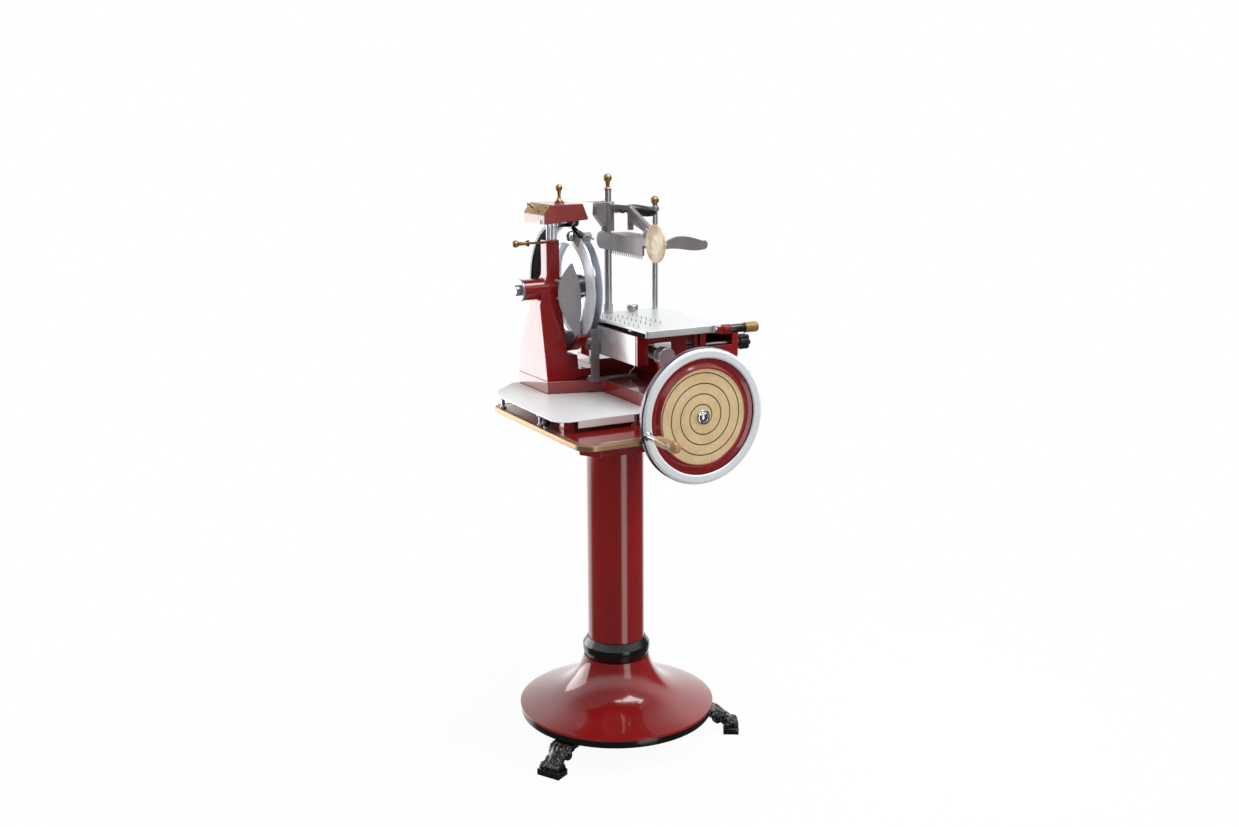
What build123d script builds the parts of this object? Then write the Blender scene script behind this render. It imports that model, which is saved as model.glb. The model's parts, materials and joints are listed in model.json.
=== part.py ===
from build123d import *
import math
import os

# Hand crank meat slicer on a pedestal. Millimetres, +Z up, the soles of the feet at z = 0.
# +X runs along the blade shaft towards the carriage, -Y is the side of the flywheel.
# Places are measured from the axis of the column. The finished solids are then moved so that
# the origin lies under the middle of the whole machine.
middle_x = 54.55
middle_y = 69.1

# Clearances
running_gap = 0.06      # a shaft in its bearing, radial
slide_gap = 0.3         # flat faces that slide on each other
seat_gap = 0.3          # round pieces that are seated in each other without moving

# Pedestal
column_radius = 72.0
column_wall = 6.0
foot_count = 3
foot_first_angle = -150.0
foot_reach = 318.0
foot_width = 66.0
foot_height = 63.0
foot_ring_radius = 248.0
foot_ring_width = 46.0
foot_ring_height = 20.0
base_radius = 250.0
base_rim_height = 6.0
base_wall = 6.0
neck_top = 214.0
neck_radius = 84.0
neck_ledge = 9.0
collar_height = 50.0
collar_radius = 86.0
column_top = 763.0
head_width = 236.0
head_front_width = 172.0
head_back_width = 122.0
head_front = -87.0
head_middle = -36.0
head_back = 76.0
head_height = 50.0
head_lid = 12.0

# Base plate with its brass border
plate_left = -190.0
plate_right = 270.0
plate_front = -197.0
plate_back = 345.0
plate_thickness = 12.0
plate_corner = 42.0
trim_width = 16.0
trim_drop = 1.0

# Base casting that carries the mechanism
casting_height = 64.0
casting_wall = 7.0
casting_roof = 4.0
casting_floor = 5.0
casting_left = 80.0
casting_right = 252.0
casting_front = -150.0
casting_back = 470.0
casting_slant = 36.0
shoulder_right = 92.0
shoulder_back = 394.0
shoulder_height = 26.0
hump_left = 90.0
hump_right = 240.0
hump_front = 268.0
hump_back = 392.0
hump_height = 45.0
hump_wall = 5.0
rail_right = 246.0
rail_width = 14.0
rail_gap = 3.0

# Receiving tray
tray_rise = 32.0
tray_thickness = 3.0
tray_left = -188.0
tray_front = -61.0
tray_back = 440.0
tray_gap = 2.0
tray_lip = 17.0
tray_pad_x = (-147.0, 54.0)
tray_pad_y = -26.0
tray_pad_width = 28.0
tray_stud_x = -176.0
tray_stud_y = (61.0, 292.0)
tray_stud_radius = 5.0
tray_stud_head = 9.0

# Blade and its shaft, along X
blade_y = 330.0
blade_z = 1125.0
blade_radius = 152.0
blade_top = blade_z + blade_radius
blade_edge_x = 61.0
blade_dish = 11.0
blade_flange_radius = 34.0
shaft_radius = 11.0
shaft_end_x = -106.0
bearing_radius = 20.0
bearing_length = 14.0
hub_radius = 27.5
hub_left = -100.0
hub_right = 26.0
hub_ring_radius = 29.0
hub_ring_width = 6.0
nut_radius = 13.0
nut_length = 14.0

# Tower
tower_left = -64.0
tower_right = 1.6
tower_foot_right = 30.0
tower_front = 254.0
tower_back = 438.0
tower_shelf_z = 953.0
tower_waist_z = 1085.0
tower_waist_depth = 64.0
tower_neck_z = 1152.0
tower_neck_depth = 44.0
post_left = -36.0
post_front = 308.0
post_back = 345.0
post_top = blade_top - 24.0

# Chain drive in the tower
chain_x = -30.0
chain_width = 8.0
chain_thickness = 4.0
chain_gap = 0.6
chain_clearance = 1.5
sprocket_radius = 26.0
blade_sprocket_radius = 19.5
sprocket_teeth = 16
blade_sprocket_teeth = 12
sprocket_width = 5.0

# Guards round the blade
guard_radius = blade_radius + 18.0
guard_wall = 8.0
guard_depth = 34.4
guard_open_from = 123.0
guard_open_to = 223.0
inner_guard_bore = blade_radius - 34.0
inner_guard_thickness = 7.0
guard_knob_angle = 110.0
guard_knob_reach = blade_radius - 4.0
guard_knob_radius = 13.0
guard_knob_stem = 5.0

# Slice deflector
deflector_x = -19.0
deflector_y = 275.0
deflector_turn = -44.0
deflector_thickness = 2.0
deflector_width = 61.0
deflector_top = 1200.0
deflector_bottom = 998.0
deflector_stud_radius = 4.0

# Bracket at the foot of the guard
bracket_width = 24.0
bracket_front = 197.0
bracket_thickness = 6.0
bracket_height = 139.0
bracket_foot_right = 172.0
bracket_foot_depth = 32.0
bracket_lever_x = 160.0

# Sharpener
hood_left = -55.0
hood_right = 71.0
hood_top_left = -35.0
hood_top_right = 56.0
hood_front = 277.0
hood_back = 405.0
hood_wall = 3.0
hood_top = blade_top + 70.0
hood_shoulder = hood_top - 27.0
hood_bottom = blade_top + 20.0
hood_right_bottom = hood_bottom + 8.0
hood_plate_thickness = 2.0
guide_rod_radius = 4.0
guide_rod_pitch = 11.0
guide_rod_x = -26.0
guide_rod_y = 320.0
guide_rod_top = hood_top - 11.0
guide_rod_sink = 16.0
finial_x = 13.0
finial_stem = 5.0
carrier_bottom = hood_bottom + 9.0
carrier_height = 18.0
stone_radius = 14.0
stone_width = 6.0
stone_x = 52.0
stone_lift = 7.0
stone_z = blade_top + stone_radius + stone_lift
stone_axle = 3.0
stone_arm_spacing = 8.0
stone_arm_width = 3.0
lock_y = 334.0
lock_z = post_top - 7.0
lock_knob_x = -76.0
lock_rod_radius = 3.0

# Flywheel and drive shaft, along Y
wheel_x = 121.0
wheel_z = 870.0
wheel_face_y = -222.0
wheel_radius = 167.5
wheel_rim_width = 25.5
wheel_rim_depth = 25.0
wheel_rim_proud = 5.0
wheel_face_radius = 116.8
wheel_face_thickness = 2.0
wheel_web = 8.0
wheel_cap_radius = 17.3
wheel_cap_height = 9.0
drive_shaft_radius = 10.0
drive_bearing_radius = 20.0
drive_bearing_length = 18.0
boss_radius = 28.0
boss_length = 17.0
crank_angle = 190.8
crank_reach = 156.0
crank_pin_length = 45.0
crank_pin_radius = 8.5
grip_length = 91.0
grip_radius = 15.0

# Bevel gears from the drive shaft to the cross shaft, along X
gear_radius = 28.0
pinion_radius = 14.0
gear_teeth = 28
pinion_teeth = 14
gear_face = 10.0
gear_backlash = 0.5
gear_hub_length = 6.0
cross_shaft_radius = 7.0
cross_bearing_radius = 13.0
cross_bearing_length = 10.0
cross_bearing_left = 8.0
cross_bearing_right = 66.0

# Carriage, sliding along Y
carriage_left = 64.5
carriage_right = 362.0
carriage_front = 0.0
carriage_back = 290.0
carriage_bottom = 961.0
carriage_top = 1036.0
carriage_wall = 6.0
guide_bar_x = 130.0
guide_bar_z = 984.0
guide_bar_radius = 15.0
guide_bar_front = -36.0
guide_bar_back = 452.0
collar_radius_bar = 23.0
pillar_front = -32.0
pillar_length = 24.0
pillar_width = 26.0
pillar_back = 418.0
collar_length = 4.0
eye_radius = 23.0
eye_length = 34.0
front_eye_y = 126.0
rear_eye_y = 228.0
eye_web = 16.0
opening_side = 34.0
opening_top = 1015.0
panel_thickness = 1.5
panel_front = 9.0
panel_back = 250.0

# Table on the carriage, sliding along X
table_left = 66.0
table_right = 300.0
table_front = -45.0
table_back = 291.0
table_top = 1055.0
table_thickness = 5.0
table_skirt = 18.0
table_skirt_wall = 3.0
spike_radius = 1.5
spike_height = 7.0
spike_pitch = 24.4
spike_row_x = (80.0, 120.0, 160.0)
spike_row_y = (23.0, 34.0, 53.0)
spike_row_count = (9, 8, 7)
post_1_x = 128.0
post_2_x = 270.0
posts_y = 275.0
post_1_radius = 9.75
post_2_radius = 8.25
post_1_top = 1380.0
post_2_top = post_1_top - 44.0
post_collar_radius = 12.5
post_collar_height = 24.0
post_stud_radius = 5.0
thumb_nut_x = 201.0
thumb_nut_radius = 15.5
thumb_nut_height = 16.0

# Feed of the table
feed_screw_y = 20.0
feed_screw_z = 994.0
feed_screw_radius = 6.0
feed_screw_left = 196.0
feed_slot_left = 206.0
feed_slot_right = 344.0
feed_slot_bottom = 993.0
feed_slot_top = 1027.0
feed_nut_x = 262.0
feed_nut_width = 18.0
feed_nut_depth = 20.0
feed_knob_radius = 20.5
feed_knob_width = 27.0
feed_knob_start = 374.0
handle_y = -62.0
handle_z = 1046.0
handle_left = 252.0
handle_rod_radius = 5.0
handle_radius = 13.5

# Meat clamp on the posts
sleeve_radius = 17.0
sleeve_top = post_1_top - 30.0
sleeve_bottom = sleeve_top - 77.0
link_eye_radius = 12.0
link_bottom = sleeve_top - 30.0
link_height = 12.0
link_depth = 12.0
arm_front_x = 152.0
arm_front_y = 195.0
arm_width = 12.0
presser_x = 109.0
presser_thickness = 6.0
presser_front = 54.0
presser_back = 304.0
presser_top = sleeve_bottom - 1.0
presser_bottom = presser_top - 44.0
presser_deck_right = 172.0
presser_pin_y = 96.0
presser_pin_z = presser_top + 14.0
presser_pin_radius = 5.0
comb_teeth = 18
comb_depth = 9.0
disc_x = 100.0
disc_y = -24.0
disc_z = presser_top - 6.0
disc_radius = 47.0
disc_thickness = 5.0
lever_length = 122.0
lever_width = 36.0
lever_thickness = 6.0
cam_x = 156.0
cam_y = 248.0
cam_z = sleeve_top - 14.0
cam_length = 112.0
cam_radius = 15.0
cam_pin_radius = 3.5

# Places that follow from the sizes above
base_bottom = foot_height + foot_ring_height
plate_z = column_top + head_height
plate_top = plate_z + plate_thickness
casting_top = plate_top + casting_height
tray_z = plate_top + tray_rise
guard_back_x = tower_right + guard_depth
bracket_left = guard_back_x + slide_gap
cross_z = wheel_z
gear_back_y = blade_y - pinion_radius
stud_seat_y = blade_y - 12


def block(x, y, z):
    """A box between two places on each axis."""
    size = Box(x[1] - x[0], y[1] - y[0], z[1] - z[0])
    return Pos((x[0] + x[1]) / 2, (y[0] + y[1]) / 2, (z[0] + z[1]) / 2) * size


def rod_x(x, y, z, radius):
    return Pos((x[0] + x[1]) / 2, y, z) * Rot(0, 90, 0) * Cylinder(radius, x[1] - x[0])


def rod_y(x, y, z, radius):
    return Pos(x, (y[0] + y[1]) / 2, z) * Rot(90, 0, 0) * Cylinder(radius, y[1] - y[0])


def rod_z(x, y, z, radius):
    return Pos(x, y, (z[0] + z[1]) / 2) * Cylinder(radius, z[1] - z[0])


def turned(points):
    """A profile of (radius, height) points turned about Z."""
    face = Plane.XZ * make_face(Polyline(*points, close=True))
    return revolve(face, Axis.Z)


def turned_x(points, y, z):
    """A profile of (radius, x) points turned about a line along X."""
    return Pos(0, y, z) * Rot(0, 90, 0) * turned(points)


def turned_y(points, x, z):
    """A profile of (radius, y) points turned about a line along Y."""
    return Pos(x, 0, z) * Rot(-90, 0, 0) * turned(points)


def plan(points, z):
    """A plan outline raised between two heights."""
    face = make_face(Polyline(*points, close=True))
    return Pos(0, 0, z[0]) * extrude(face, z[1] - z[0])


def side(points, x):
    """An outline of (y, z) points, thick along X."""
    face = Plane.YZ * make_face(Polyline(*points, close=True))
    return Pos(x[0], 0, 0) * extrude(face, x[1] - x[0])


def front(points, y):
    """An outline of (x, z) points, thick along Y."""
    face = Plane.XZ * make_face(Polyline(*points, close=True))
    return Pos(0, y[1], 0) * extrude(face, y[1] - y[0])


def round_plate(x, y, z, radius):
    """A plate with rounded corners between two places on each axis."""
    outline = Rectangle(x[1] - x[0], y[1] - y[0])
    outline = fillet(outline.vertices(), radius)
    return Pos((x[0] + x[1]) / 2, (y[0] + y[1]) / 2, z[0]) * extrude(outline, z[1] - z[0])


def baluster(length, radius, stem):
    """A turned knob standing on z = 0: a flared foot, a narrow neck and a ball with a small flat crown."""
    foot = radius * 0.95
    neck = radius * 0.45
    head = length - radius * 0.92
    neck_height = (foot * 0.2 + head - radius) * 0.55
    low = Line((0, 0), (foot, 0))
    edge = Line((foot, 0), (foot, foot * 0.2))
    flare = ThreePointArc((foot, foot * 0.2), (neck * 1.2, neck_height * 0.55), (neck, neck_height))
    throat = Line((neck, neck_height), (radius * 0.6, head - radius * 0.8))
    ball = ThreePointArc((radius * 0.6, head - radius * 0.8), (radius, head), (radius * 0.39, length))
    crown = Polyline((radius * 0.39, length), (0, length), (0, 0))
    knob = revolve(Plane.XZ * make_face([low, edge, flare, throat, ball, *crown.edges()]), Axis.Z)
    return knob + rod_z(0, 0, (-stem, 0), finial_stem - running_gap) if stem else knob


def toothed_wheel(radius, width, teeth, bore):
    """A chain wheel along Z, whose teeth are left between round cuts."""
    wheel = Cylinder(radius, width) - Cylinder(bore, width)
    cut_radius = math.pi * radius / teeth * 0.55
    cutter = Pos(radius + cut_radius * 0.25, 0, 0) * Cylinder(cut_radius, width)
    for tooth in range(teeth):
        wheel -= Rot(0, 0, 360 / teeth * tooth) * cutter
    return wheel


def bevel_gear(radius, mate_radius, teeth, bore):
    """A bevel gear about Z: the pitch cone's tip is at the origin, its wide end lies below."""
    cone = math.hypot(radius, mate_radius)
    inner = (cone - gear_face) / cone
    gap = gear_backlash
    hub = radius * 0.62
    back = -mate_radius - gap - gear_hub_length
    points = [(bore, -mate_radius * inner), (radius * inner - gap, -mate_radius * inner - gap),
              (radius - gap, -mate_radius - gap), (hub, back), (bore, back)]
    gear = turned(points)
    slope = math.degrees(math.atan2(mate_radius, radius))
    groove = Box(cone * 1.2, math.pi * radius / teeth * 0.8, 2.4)
    for tooth in range(teeth):
        gear -= Rot(0, 0, 360 / teeth * tooth) * Rot(0, slope, 0) * Pos(cone * 0.7, 0, 0) * groove
    return gear


# ---- pedestal

def pedestal_feet():
    sole = 40.0
    outline = Polyline((foot_reach - sole, 0), (foot_reach, 0), (foot_reach, 15),
                       (foot_reach - 8, 29), (foot_reach - 22, 33))
    instep = ThreePointArc((foot_reach - 22, 33), (foot_reach - 46, 40), (foot_reach - 62, foot_height))
    heel = Polyline((foot_reach - 62, foot_height), (foot_reach - 112, foot_height),
                    (foot_reach - 112, foot_height - 10))
    arch = ThreePointArc((foot_reach - 112, foot_height - 10), (foot_reach - 60, foot_height - 24),
                         (foot_reach - sole, 0))
    face = Plane.XZ * make_face([*outline.edges(), instep, *heel.edges(), arch])
    paw = Pos(0, foot_width / 2, 0) * extrude(face, foot_width)
    trim_front = [(foot_reach - 112, 21), (foot_reach - 60, 24), (foot_reach - 34, 33),
                  (foot_reach - 34, foot_width), (foot_reach - 112, foot_width)]
    for mirrored in (1, -1):
        paw -= plan([(x, mirrored * y) for x, y in trim_front], (-1, foot_height + 1))
    for slit_y in (-foot_width / 7.2, foot_width / 7.2):
        paw -= Pos(foot_reach, slit_y, 0) * Box(16, 3, 60)
    feet = [Rot(0, 0, foot_first_angle + 360 / foot_count * i) * paw for i in range(foot_count)]
    return Compound(feet)


def pedestal_foot_ring():
    inner = foot_ring_radius - foot_ring_width
    return turned([(inner, foot_height), (foot_ring_radius - 3, foot_height),
                   (foot_ring_radius, foot_height + 3), (foot_ring_radius, base_bottom),
                   (inner, base_bottom)])


def bell(wall, low, high):
    """The bell curve of the base, moved inwards by a wall."""
    return Spline((base_radius - wall, low), (187 - wall * 0.6, 110 - wall * 0.9),
                  (132 - wall * 0.75, 136 - wall * 0.7), (97 - wall, 178), (neck_radius - wall, high))


def pedestal_base():
    low = base_bottom + base_rim_height
    outer = bell(0, low, neck_top)
    inner = bell(base_wall, base_bottom, neck_top - neck_ledge - 8)
    rim = Polyline(inner @ 0, (base_radius, base_bottom), outer @ 0)
    throat = column_radius + seat_gap
    seat = neck_top - neck_ledge
    top = Polyline(outer @ 1, (throat, neck_top), (throat, seat), (column_radius - column_wall, seat),
                   (column_radius - column_wall, seat - 8), inner @ 1)
    face = Plane.XZ * make_face([outer, inner, *rim.edges(), *top.edges()])
    return revolve(face, Axis.Z)


def pedestal_collar():
    bore = column_radius + seat_gap
    low = neck_top
    high = neck_top + collar_height
    return turned([(bore, low), (neck_radius - 4, low), (collar_radius, low + 17), (collar_radius, low + 32),
                   (bore + 1.5, high), (bore, high)])


def pedestal_column():
    low = neck_top - neck_ledge
    tube = rod_z(0, 0, (low, column_top), column_radius)
    return tube - rod_z(0, 0, (low, column_top), column_radius - column_wall)


def pedestal_head():
    front_x, middle, back_x = head_front_width / 2, head_width / 2, head_back_width / 2
    outline = [(-front_x, head_front), (front_x, head_front), (middle, head_middle), (back_x, head_back),
               (-back_x, head_back), (-middle, head_middle)]
    head = plan(outline, (column_top, plate_z))
    return head - rod_z(0, 0, (column_top - 1, plate_z - head_lid), column_radius - column_wall)


# ---- base plate, casting and tray

def plate_outline(inset, z):
    x = (plate_left + inset, plate_right - inset)
    y = (plate_front + inset, plate_back - inset)
    return round_plate(x, y, z, plate_corner - inset)


def base_plate():
    plate = plate_outline(trim_width, (plate_z, plate_top))
    half = tray_pad_width / 2
    for x in tray_pad_x:
        plate += block((x - half, x + half), (tray_pad_y - half, tray_pad_y + half),
                       (plate_top, tray_z - tray_thickness))
    return plate


def base_plate_trim():
    border = plate_outline(0, (plate_z - trim_drop, plate_top))
    return border - plate_outline(trim_width, (plate_z - trim_drop - 1, plate_top + 1))


def casting_plan(inset, back):
    step = casting_left + inset
    return [(step, casting_front + inset), (casting_right - inset, casting_front + inset),
            (casting_right - inset, back), (step, back), (step, tower_back - inset),
            (tower_left + inset, tower_back - inset), (tower_left + inset, tower_front + inset),
            (step, tower_front - casting_slant + inset)]


def pillar_places():
    return (pillar_front, pillar_front + pillar_length), (pillar_back, pillar_back + pillar_length)


def base_casting():
    wall = casting_wall
    under = casting_top - casting_roof
    casting = plan(casting_plan(0, casting_back), (plate_top, casting_top))
    shoulder = block((tower_foot_right, shoulder_right), (tower_front + 2, shoulder_back),
                     (casting_top - 1, casting_top + shoulder_height))
    casting += shoulder
    casting += block((hump_left, hump_right), (hump_front, hump_back),
                     (casting_top - 1, casting_top + hump_height))
    casting += block((rail_right - rail_width, rail_right), (casting_front + 30, casting_back - 10),
                     (casting_top - 1, carriage_bottom - rail_gap))
    for y in pillar_places():
        casting += block((guide_bar_x - pillar_width / 2, guide_bar_x + pillar_width / 2), y,
                         (casting_top - 1, guide_bar_z))
        casting += rod_y(guide_bar_x, y, guide_bar_z, collar_radius_bar)
    casting += rod_y(wheel_x, (casting_front - boss_length, casting_front + 2), wheel_z, boss_radius)
    casting -= plan(casting_plan(wall, plate_back - trim_width), (plate_top - 1, under))
    casting -= plan(casting_plan(wall, casting_back - wall), (plate_top + casting_floor, under))
    casting -= block((hump_left + hump_wall, hump_right - hump_wall),
                     (hump_front + hump_wall, hump_back - hump_wall),
                     (under - 1, casting_top + hump_height - hump_wall))
    seats = ((casting_front - boss_length, casting_front - boss_length + drive_bearing_length),
             (hump_front - 12, hump_front + 10))
    for y in seats:
        low = max(y[0], casting_front + 2)
        if low < y[1]:
            casting += block((wheel_x - boss_radius, wheel_x + boss_radius), (low, y[1]),
                             (plate_top, under + 1))
            casting += rod_y(wheel_x, (low, y[1]), wheel_z, boss_radius)
        casting -= rod_y(wheel_x, (y[0] - 1, y[1] + wall + 2), wheel_z, drive_bearing_radius)
    for x in (cross_bearing_left, cross_bearing_right):
        span = (x - 2, x + cross_bearing_length + 2)
        casting += block(span, (blade_y - 20, blade_y + 20), (plate_top, under + 1))
        casting -= rod_x((span[0] - 1, span[1] + 1), blade_y, cross_z, cross_bearing_radius)
    casting -= block(chain_well(), (blade_y - 38, blade_y + 38), (under - 1, casting_top + 1))
    for y in pillar_places():
        casting -= rod_y(guide_bar_x, (y[0] - 1, y[1] + 1), guide_bar_z, guide_bar_radius)
    return casting


def slice_tray():
    gap = tray_gap
    right = casting_left - gap
    outline = [(tray_left, tray_front + 34), (tray_left + 9, tray_front + 10), (tray_left + 34, tray_front),
               (right, tray_front), (right, tower_front - casting_slant - gap * 2),
               (tower_left - gap, tower_front - gap), (tower_left - gap, tray_back),
               (tower_left - 18, tray_back), (tray_left + 23, tray_back - 80), (tray_left, tray_back - 150)]
    tray = plan(outline, (tray_z - tray_thickness, tray_z))
    lip = block((-132, 22), (tray_front, tray_front + 2), (tray_z - tray_thickness - tray_lip, tray_z - 1))
    return tray + lip


def tray_feet():
    low = plate_top
    high = tray_z - tray_thickness
    pieces = []
    for y in tray_stud_y:
        stud = rod_z(tray_stud_x, y, (low, high), tray_stud_radius)
        stud += rod_z(tray_stud_x, y, (low, low + 5), tray_stud_head)
        pieces.append(stud + rod_z(tray_stud_x, y, (high - 5, high), tray_stud_head))
    knob = rod_y(tray_stud_x, (22, 36), low + 13, 10)
    pieces.append(knob + rod_z(tray_stud_x, 29, (low, low + 6), 6))
    return Compound(pieces)


# ---- tower, chain and blade

def tower_block(x, y, z):
    """A slab of the tower that narrows from its lower to its upper outline."""
    low = Pos((x[0][0] + x[0][1]) / 2, (y[0][0] + y[0][1]) / 2, z[0]) * Rectangle(
        x[0][1] - x[0][0], y[0][1] - y[0][0])
    high = Pos((x[1][0] + x[1][1]) / 2, (y[1][0] + y[1][1]) / 2, z[1]) * Rectangle(
        x[1][1] - x[1][0], y[1][1] - y[1][0])
    return loft([low, high])


def chain_route(extra):
    """The oval round both chain wheels, seen along X, grown by a distance."""
    low = Pos(blade_y, cross_z) * Circle(sprocket_radius + extra)
    high = Pos(blade_y, blade_z) * Circle(blade_sprocket_radius + extra)
    span = blade_z - cross_z
    lean = math.asin((sprocket_radius - blade_sprocket_radius) / span)
    corners = []
    wheels = ((1, cross_z, sprocket_radius), (1, blade_z, blade_sprocket_radius),
              (-1, blade_z, blade_sprocket_radius), (-1, cross_z, sprocket_radius))
    for turn, z, radius in wheels:
        reach = radius + extra
        corners.append((blade_y + turn * reach * math.cos(lean), z + reach * math.sin(lean)))
    return low + high + make_face(Polyline(*corners, close=True))


def chain_well():
    return (chain_x - chain_width / 2 - 3, chain_x + chain_width / 2 + 3)


def blade_tower():
    full = (tower_left, tower_foot_right)
    shelf_y = (tower_front + 12, tower_back - 12)
    tower = tower_block((full, full), ((tower_front, tower_back), shelf_y), (casting_top, tower_shelf_z))
    trunk = (tower_left, tower_right)
    waist = (blade_y - tower_waist_depth / 2, blade_y + tower_waist_depth / 2)
    neck = (blade_y - tower_neck_depth / 2, blade_y + tower_neck_depth / 2)
    tower += tower_block((trunk, (tower_left + 2, tower_right)), (shelf_y, waist),
                         (tower_shelf_z, tower_waist_z))
    tower += tower_block(((tower_left + 2, tower_right), (post_left - 3, tower_right)), (waist, neck),
                         (tower_waist_z, tower_neck_z))
    tower += tower_block(((post_left - 3, tower_right), (post_left, tower_right)),
                         (neck, (post_front, post_back)), (tower_neck_z, tower_neck_z + 12))
    tower += block((post_left, tower_right), (post_front, post_back), (tower_neck_z + 12, post_top))
    tower += rod_x((hub_left, hub_right), blade_y, blade_z, hub_radius)
    cavity = Plane.YZ * chain_route(chain_thickness + chain_clearance)
    well = chain_well()
    tower -= Pos(well[0], 0, 0) * extrude(cavity, well[1] - well[0])
    tower -= rod_x((hub_left, hub_right), blade_y, blade_z, shaft_radius + 2)
    for x in ((hub_left, hub_left + bearing_length), (hub_right - bearing_length, hub_right)):
        tower -= rod_x(x, blade_y, blade_z, bearing_radius)
    for i in range(3):
        tower -= rod_z(guide_rod_x + guide_rod_pitch * i, guide_rod_y, (post_top - guide_rod_sink, post_top),
                       guide_rod_radius)
    tower -= rod_x((post_left - 1, post_left + 14), lock_y, lock_z, lock_rod_radius + running_gap)
    for z in deflector_stud_heights():
        tower -= rod_y(deflector_stud_x(), (deflector_stud_front(), stud_seat_y), z, deflector_stud_radius)
    return tower


def hub_ring():
    x = (hub_left - hub_ring_width, hub_left)
    ring = rod_x(x, blade_y, blade_z, hub_ring_radius)
    return ring - rod_x(x, blade_y, blade_z, shaft_radius + 1)


def blade_shaft():
    shaft = rod_x((shaft_end_x - nut_length, blade_edge_x - blade_dish), blade_y, blade_z, shaft_radius)
    shaft += rod_x((hub_right + 2, blade_edge_x - blade_dish), blade_y, blade_z, blade_flange_radius)
    flats = extrude(RegularPolygon(nut_radius, 6), nut_length - 2)
    nut = Pos(shaft_end_x - nut_length + 1, blade_y, blade_z) * Rot(0, 90, 0) * flats
    nut -= rod_x((shaft_end_x - nut_length, shaft_end_x + 1), blade_y, blade_z, shaft_radius)
    return Compound([shaft, nut])


def blade():
    edge = blade_edge_x
    hub = edge - blade_dish
    disc = turned_x([(0, hub), (blade_radius - 42, hub), (blade_radius - 17, edge - 7.5),
                     (blade_radius, edge), (blade_radius - 17, edge - 3), (blade_radius - 42, edge - 6),
                     (0, edge - 6)], blade_y, blade_z)
    for i in range(4):
        angle = math.radians(45 + 90 * i)
        disc += rod_x((edge - 6, edge - 4), blade_y + 24 * math.cos(angle),
                      blade_z + 24 * math.sin(angle), 4)
    return disc


def sprocket_on(radius, teeth, bore, z):
    wheel = toothed_wheel(radius - chain_gap, sprocket_width, teeth, bore)
    return Pos(chain_x, blade_y, z) * Rot(0, 90, 0) * wheel


def blade_sprocket():
    return sprocket_on(blade_sprocket_radius, blade_sprocket_teeth, shaft_radius, blade_z)


def cross_sprocket():
    return sprocket_on(sprocket_radius, sprocket_teeth, cross_shaft_radius, cross_z)


def drive_chain():
    band = Plane.YZ * (chain_route(chain_thickness) - chain_route(0))
    return Pos(chain_x - chain_width / 2, 0, 0) * extrude(band, chain_width)


def shaft_bearings():
    rings = []
    for x in ((hub_left, hub_left + bearing_length), (hub_right - bearing_length, hub_right)):
        rings.append(rod_x(x, blade_y, blade_z, bearing_radius)
                     - rod_x(x, blade_y, blade_z, shaft_radius + running_gap))
    for left in (cross_bearing_left, cross_bearing_right):
        x = (left, left + cross_bearing_length)
        rings.append(rod_x(x, blade_y, cross_z, cross_bearing_radius)
                     - rod_x(x, blade_y, cross_z, cross_shaft_radius + running_gap))
    for y in (casting_front - boss_length, hump_front - 10):
        span = (y, y + drive_bearing_length)
        rings.append(rod_y(wheel_x, span, wheel_z, drive_bearing_radius)
                     - rod_y(wheel_x, span, wheel_z, drive_shaft_radius + running_gap))
    return Compound(rings)


# ---- guards, deflector and bracket

def around_blade(from_angle, to_angle, radius, x):
    """A wedge round the blade shaft between two angles, wider than the guards."""
    points = [(blade_y, blade_z)]
    steps = 8
    for i in range(steps + 1):
        angle = math.radians(from_angle + (to_angle - from_angle) * i / steps)
        points.append((blade_y + radius * math.cos(angle), blade_z + radius * math.sin(angle)))
    return side(points, x)


def ring_guard():
    inner = guard_radius - guard_wall
    lip = 3.0
    hoop = turned_x([(inner, tower_right), (guard_radius + lip / 2, tower_right),
                     (guard_radius + lip / 2, tower_right + lip), (guard_radius, tower_right + lip + 2),
                     (guard_radius, guard_back_x), (inner, guard_back_x)], blade_y, blade_z)
    return hoop - around_blade(guard_open_from, guard_open_to, guard_radius * 1.3,
                               (tower_right - 1, guard_back_x + 1))


def inner_guard():
    outer = guard_radius - guard_wall - seat_gap
    x = (guard_back_x - inner_guard_thickness, guard_back_x)
    edge = 1.5
    return turned_x([(inner_guard_bore, x[0]), (outer - edge, x[0]), (outer, x[0] + edge), (outer, x[1]),
                     (inner_guard_bore, x[1])], blade_y, blade_z)


def on_ring(angle, radius):
    turn = math.radians(angle)
    return blade_y + radius * math.cos(turn), blade_z + radius * math.sin(turn)


def guard_clamp():
    face = guard_back_x - inner_guard_thickness
    strap_x = (face - 4, face)
    strap = around_blade(105, guard_open_from + 1, guard_radius + 30, strap_x)
    strap &= rod_x(strap_x, blade_y, blade_z, guard_radius - 12)
    strap -= rod_x(strap_x, blade_y, blade_z, guard_radius - 34)
    knob_y, knob_z = on_ring(guard_knob_angle, guard_knob_reach)
    strap -= rod_x(strap_x, knob_y, knob_z, guard_knob_stem + running_gap)
    end_y, end_z = on_ring(guard_open_from + 2.3, guard_radius + 2)
    end = Pos(face + 15, end_y, end_z) * Rot(guard_open_from - 90, 0, 0) * Box(20, 13, 20)
    end += rod_y(face + 14, (end_y - 38, end_y - 5), end_z - 2, 2.5)
    low_y, low_z = on_ring(guard_open_to + 4.5, guard_radius)
    low = rod_x((bracket_left - 10, bracket_left), bracket_front + 2, low_z, 8)
    return Compound([strap, end, low])


def guard_lock_knob():
    face = guard_back_x - inner_guard_thickness
    knob_y, knob_z = on_ring(guard_knob_angle, guard_knob_reach)
    knob = rod_x((face - 16, face - 5), knob_y, knob_z, guard_knob_radius)
    return knob + rod_x((face - 6, face), knob_y, knob_z, guard_knob_stem)


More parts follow.
